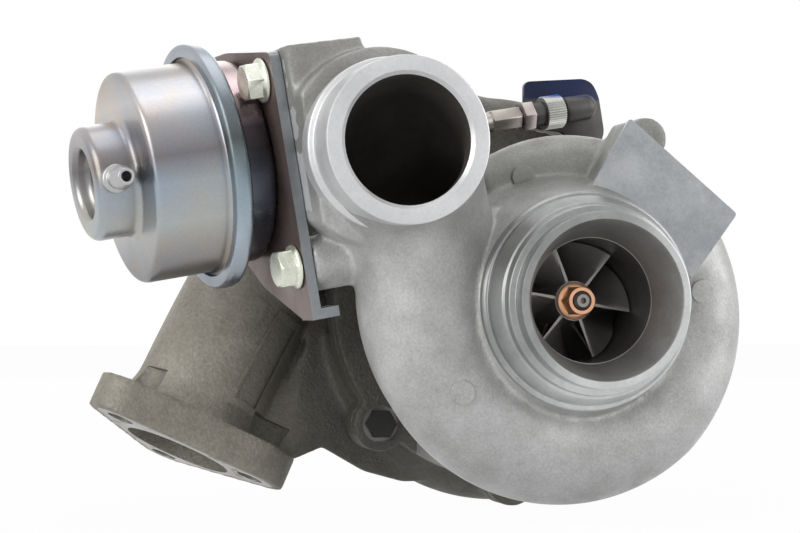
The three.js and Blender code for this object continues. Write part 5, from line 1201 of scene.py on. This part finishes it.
link_shares = [(0, 0.93), (0, 0.45), (0.1, 0.3), (0.5, 0.25), (0.62, 0.02), (0.92, 0.02), (1, 0.25),
               (0.93, 0.75), (0.85, 0.93), (0.74, 0.99)]
link_outline = softened([(3.5 + 27 * x, 49 + 23.5 * z) for x, z in link_shares], 2.0, steps=6)
link = mesh_object("link_plate_pressing", [prism(link_outline, 34.5, 37)], black_steel)
sleeve = moved(turned([(0, -120.4), (2.6, -120.1), (4.2, -117.8), (4.2, -109), (0, -109)], 1.0, 64),
               rod_to_shaft)
saddle_x, saddle_y, saddle_z = rod_to_shaft([(0, -114.7, 0)])[0]
saddle = block((saddle_x - 4.5, saddle_z - 2.1), (saddle_x + 4.5, saddle_z + 2.1), saddle_y + 1.7, 35.5)
half_swing, lever_reach = math.radians(14.32), 17.44
lever_rest = math.degrees(math.atan2(slide_axis[2], slide_axis[0])) - 90 - math.degrees(half_swing)
pin_x, pin_z = np.add(crank_place, polar(lever_reach / math.cos(half_swing), lever_rest))
pin = shifted(post(2, 34.5, 43.4, edge=0.3), (pin_x, 0, pin_z))
link = machined(link, added=bodies(black_steel, sleeve, saddle, pin),
                removed=bodies(steel, moved(post(2.7, -117.8, -100), rod_to_shaft)))
finished(bevelled(link, 0.3), "actuator", ["link_plate"])

# %% [markdown]
# ## Spring and diaphragm
# Both yield as the rod is drawn in. The spring is coiled wire that is pressed against the cap, and the
# diaphragm is moulded rubber whose rim is clamped in the rolled ring. Both keep the CAD's mesh here and take a
# finish.

# %% Spring and diaphragm pieces
moulded_crease = 50


def yielding(name, node_name, tone):
    """A copy of a CAD mesh with its doubled corners merged and a finish, put in place of its CAD node and given
    its own mesh."""
    made = bpy.data.objects.new(name, frame["nodes"][node_name].data.copy())
    scene.collection.objects.link(made)
    form = bmesh.new()
    form.from_mesh(made.data)
    bmesh.ops.remove_doubles(form, verts=form.verts, dist=seam_gap)
    form.to_mesh(made.data)
    form.free()
    made.data.materials.clear()
    made.data.materials.append(tone)
    corners = np.zeros(len(made.data.vertices) * 3)
    made.data.vertices.foreach_get("co", corners)
    finished(made, "housing", [node_name], moulded_crease)
    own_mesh(made)


yielding("coil_spring", "return_spring", steel)
yielding("rubber_diaphragm", "diaphragm", rubber)

# %% [markdown]
# ## Finishes of the CAD pieces that stay
# The pieces inside, and small ones whose shape is right, keep their CAD mesh and take a finish by the slot
# that the record gives them.

# %% Finish by slot
finish_of_slot = {
    "cast_aluminium": cast_aluminium, "machined_aluminium": wheel_aluminium, "copper_nut": copper,
    "cast_iron": cast_iron, "bright_steel": steel, "heat_steel": heat_steel, "bearing_bronze": bronze,
    "sealing_rubber": rubber, "dark_steel": dark_steel, "bright_zinc": silver_zinc,
    "purple_zinc": violet_zinc, "bracket_zinc": slate_zinc, "green_zinc": green_zinc,
    "black_steel": black_steel, "knurled_steel": knurled_steel,
}
for entry in frame["record"]["subparts"]:
    kept = frame["nodes"][entry["node"]]
    kept.data.materials.clear()
    kept.data.materials.append(finish_of_slot[entry["material_slot"]])
print(sum(not o.hide_render for o in frame["nodes"].values()), "CAD pieces stay")
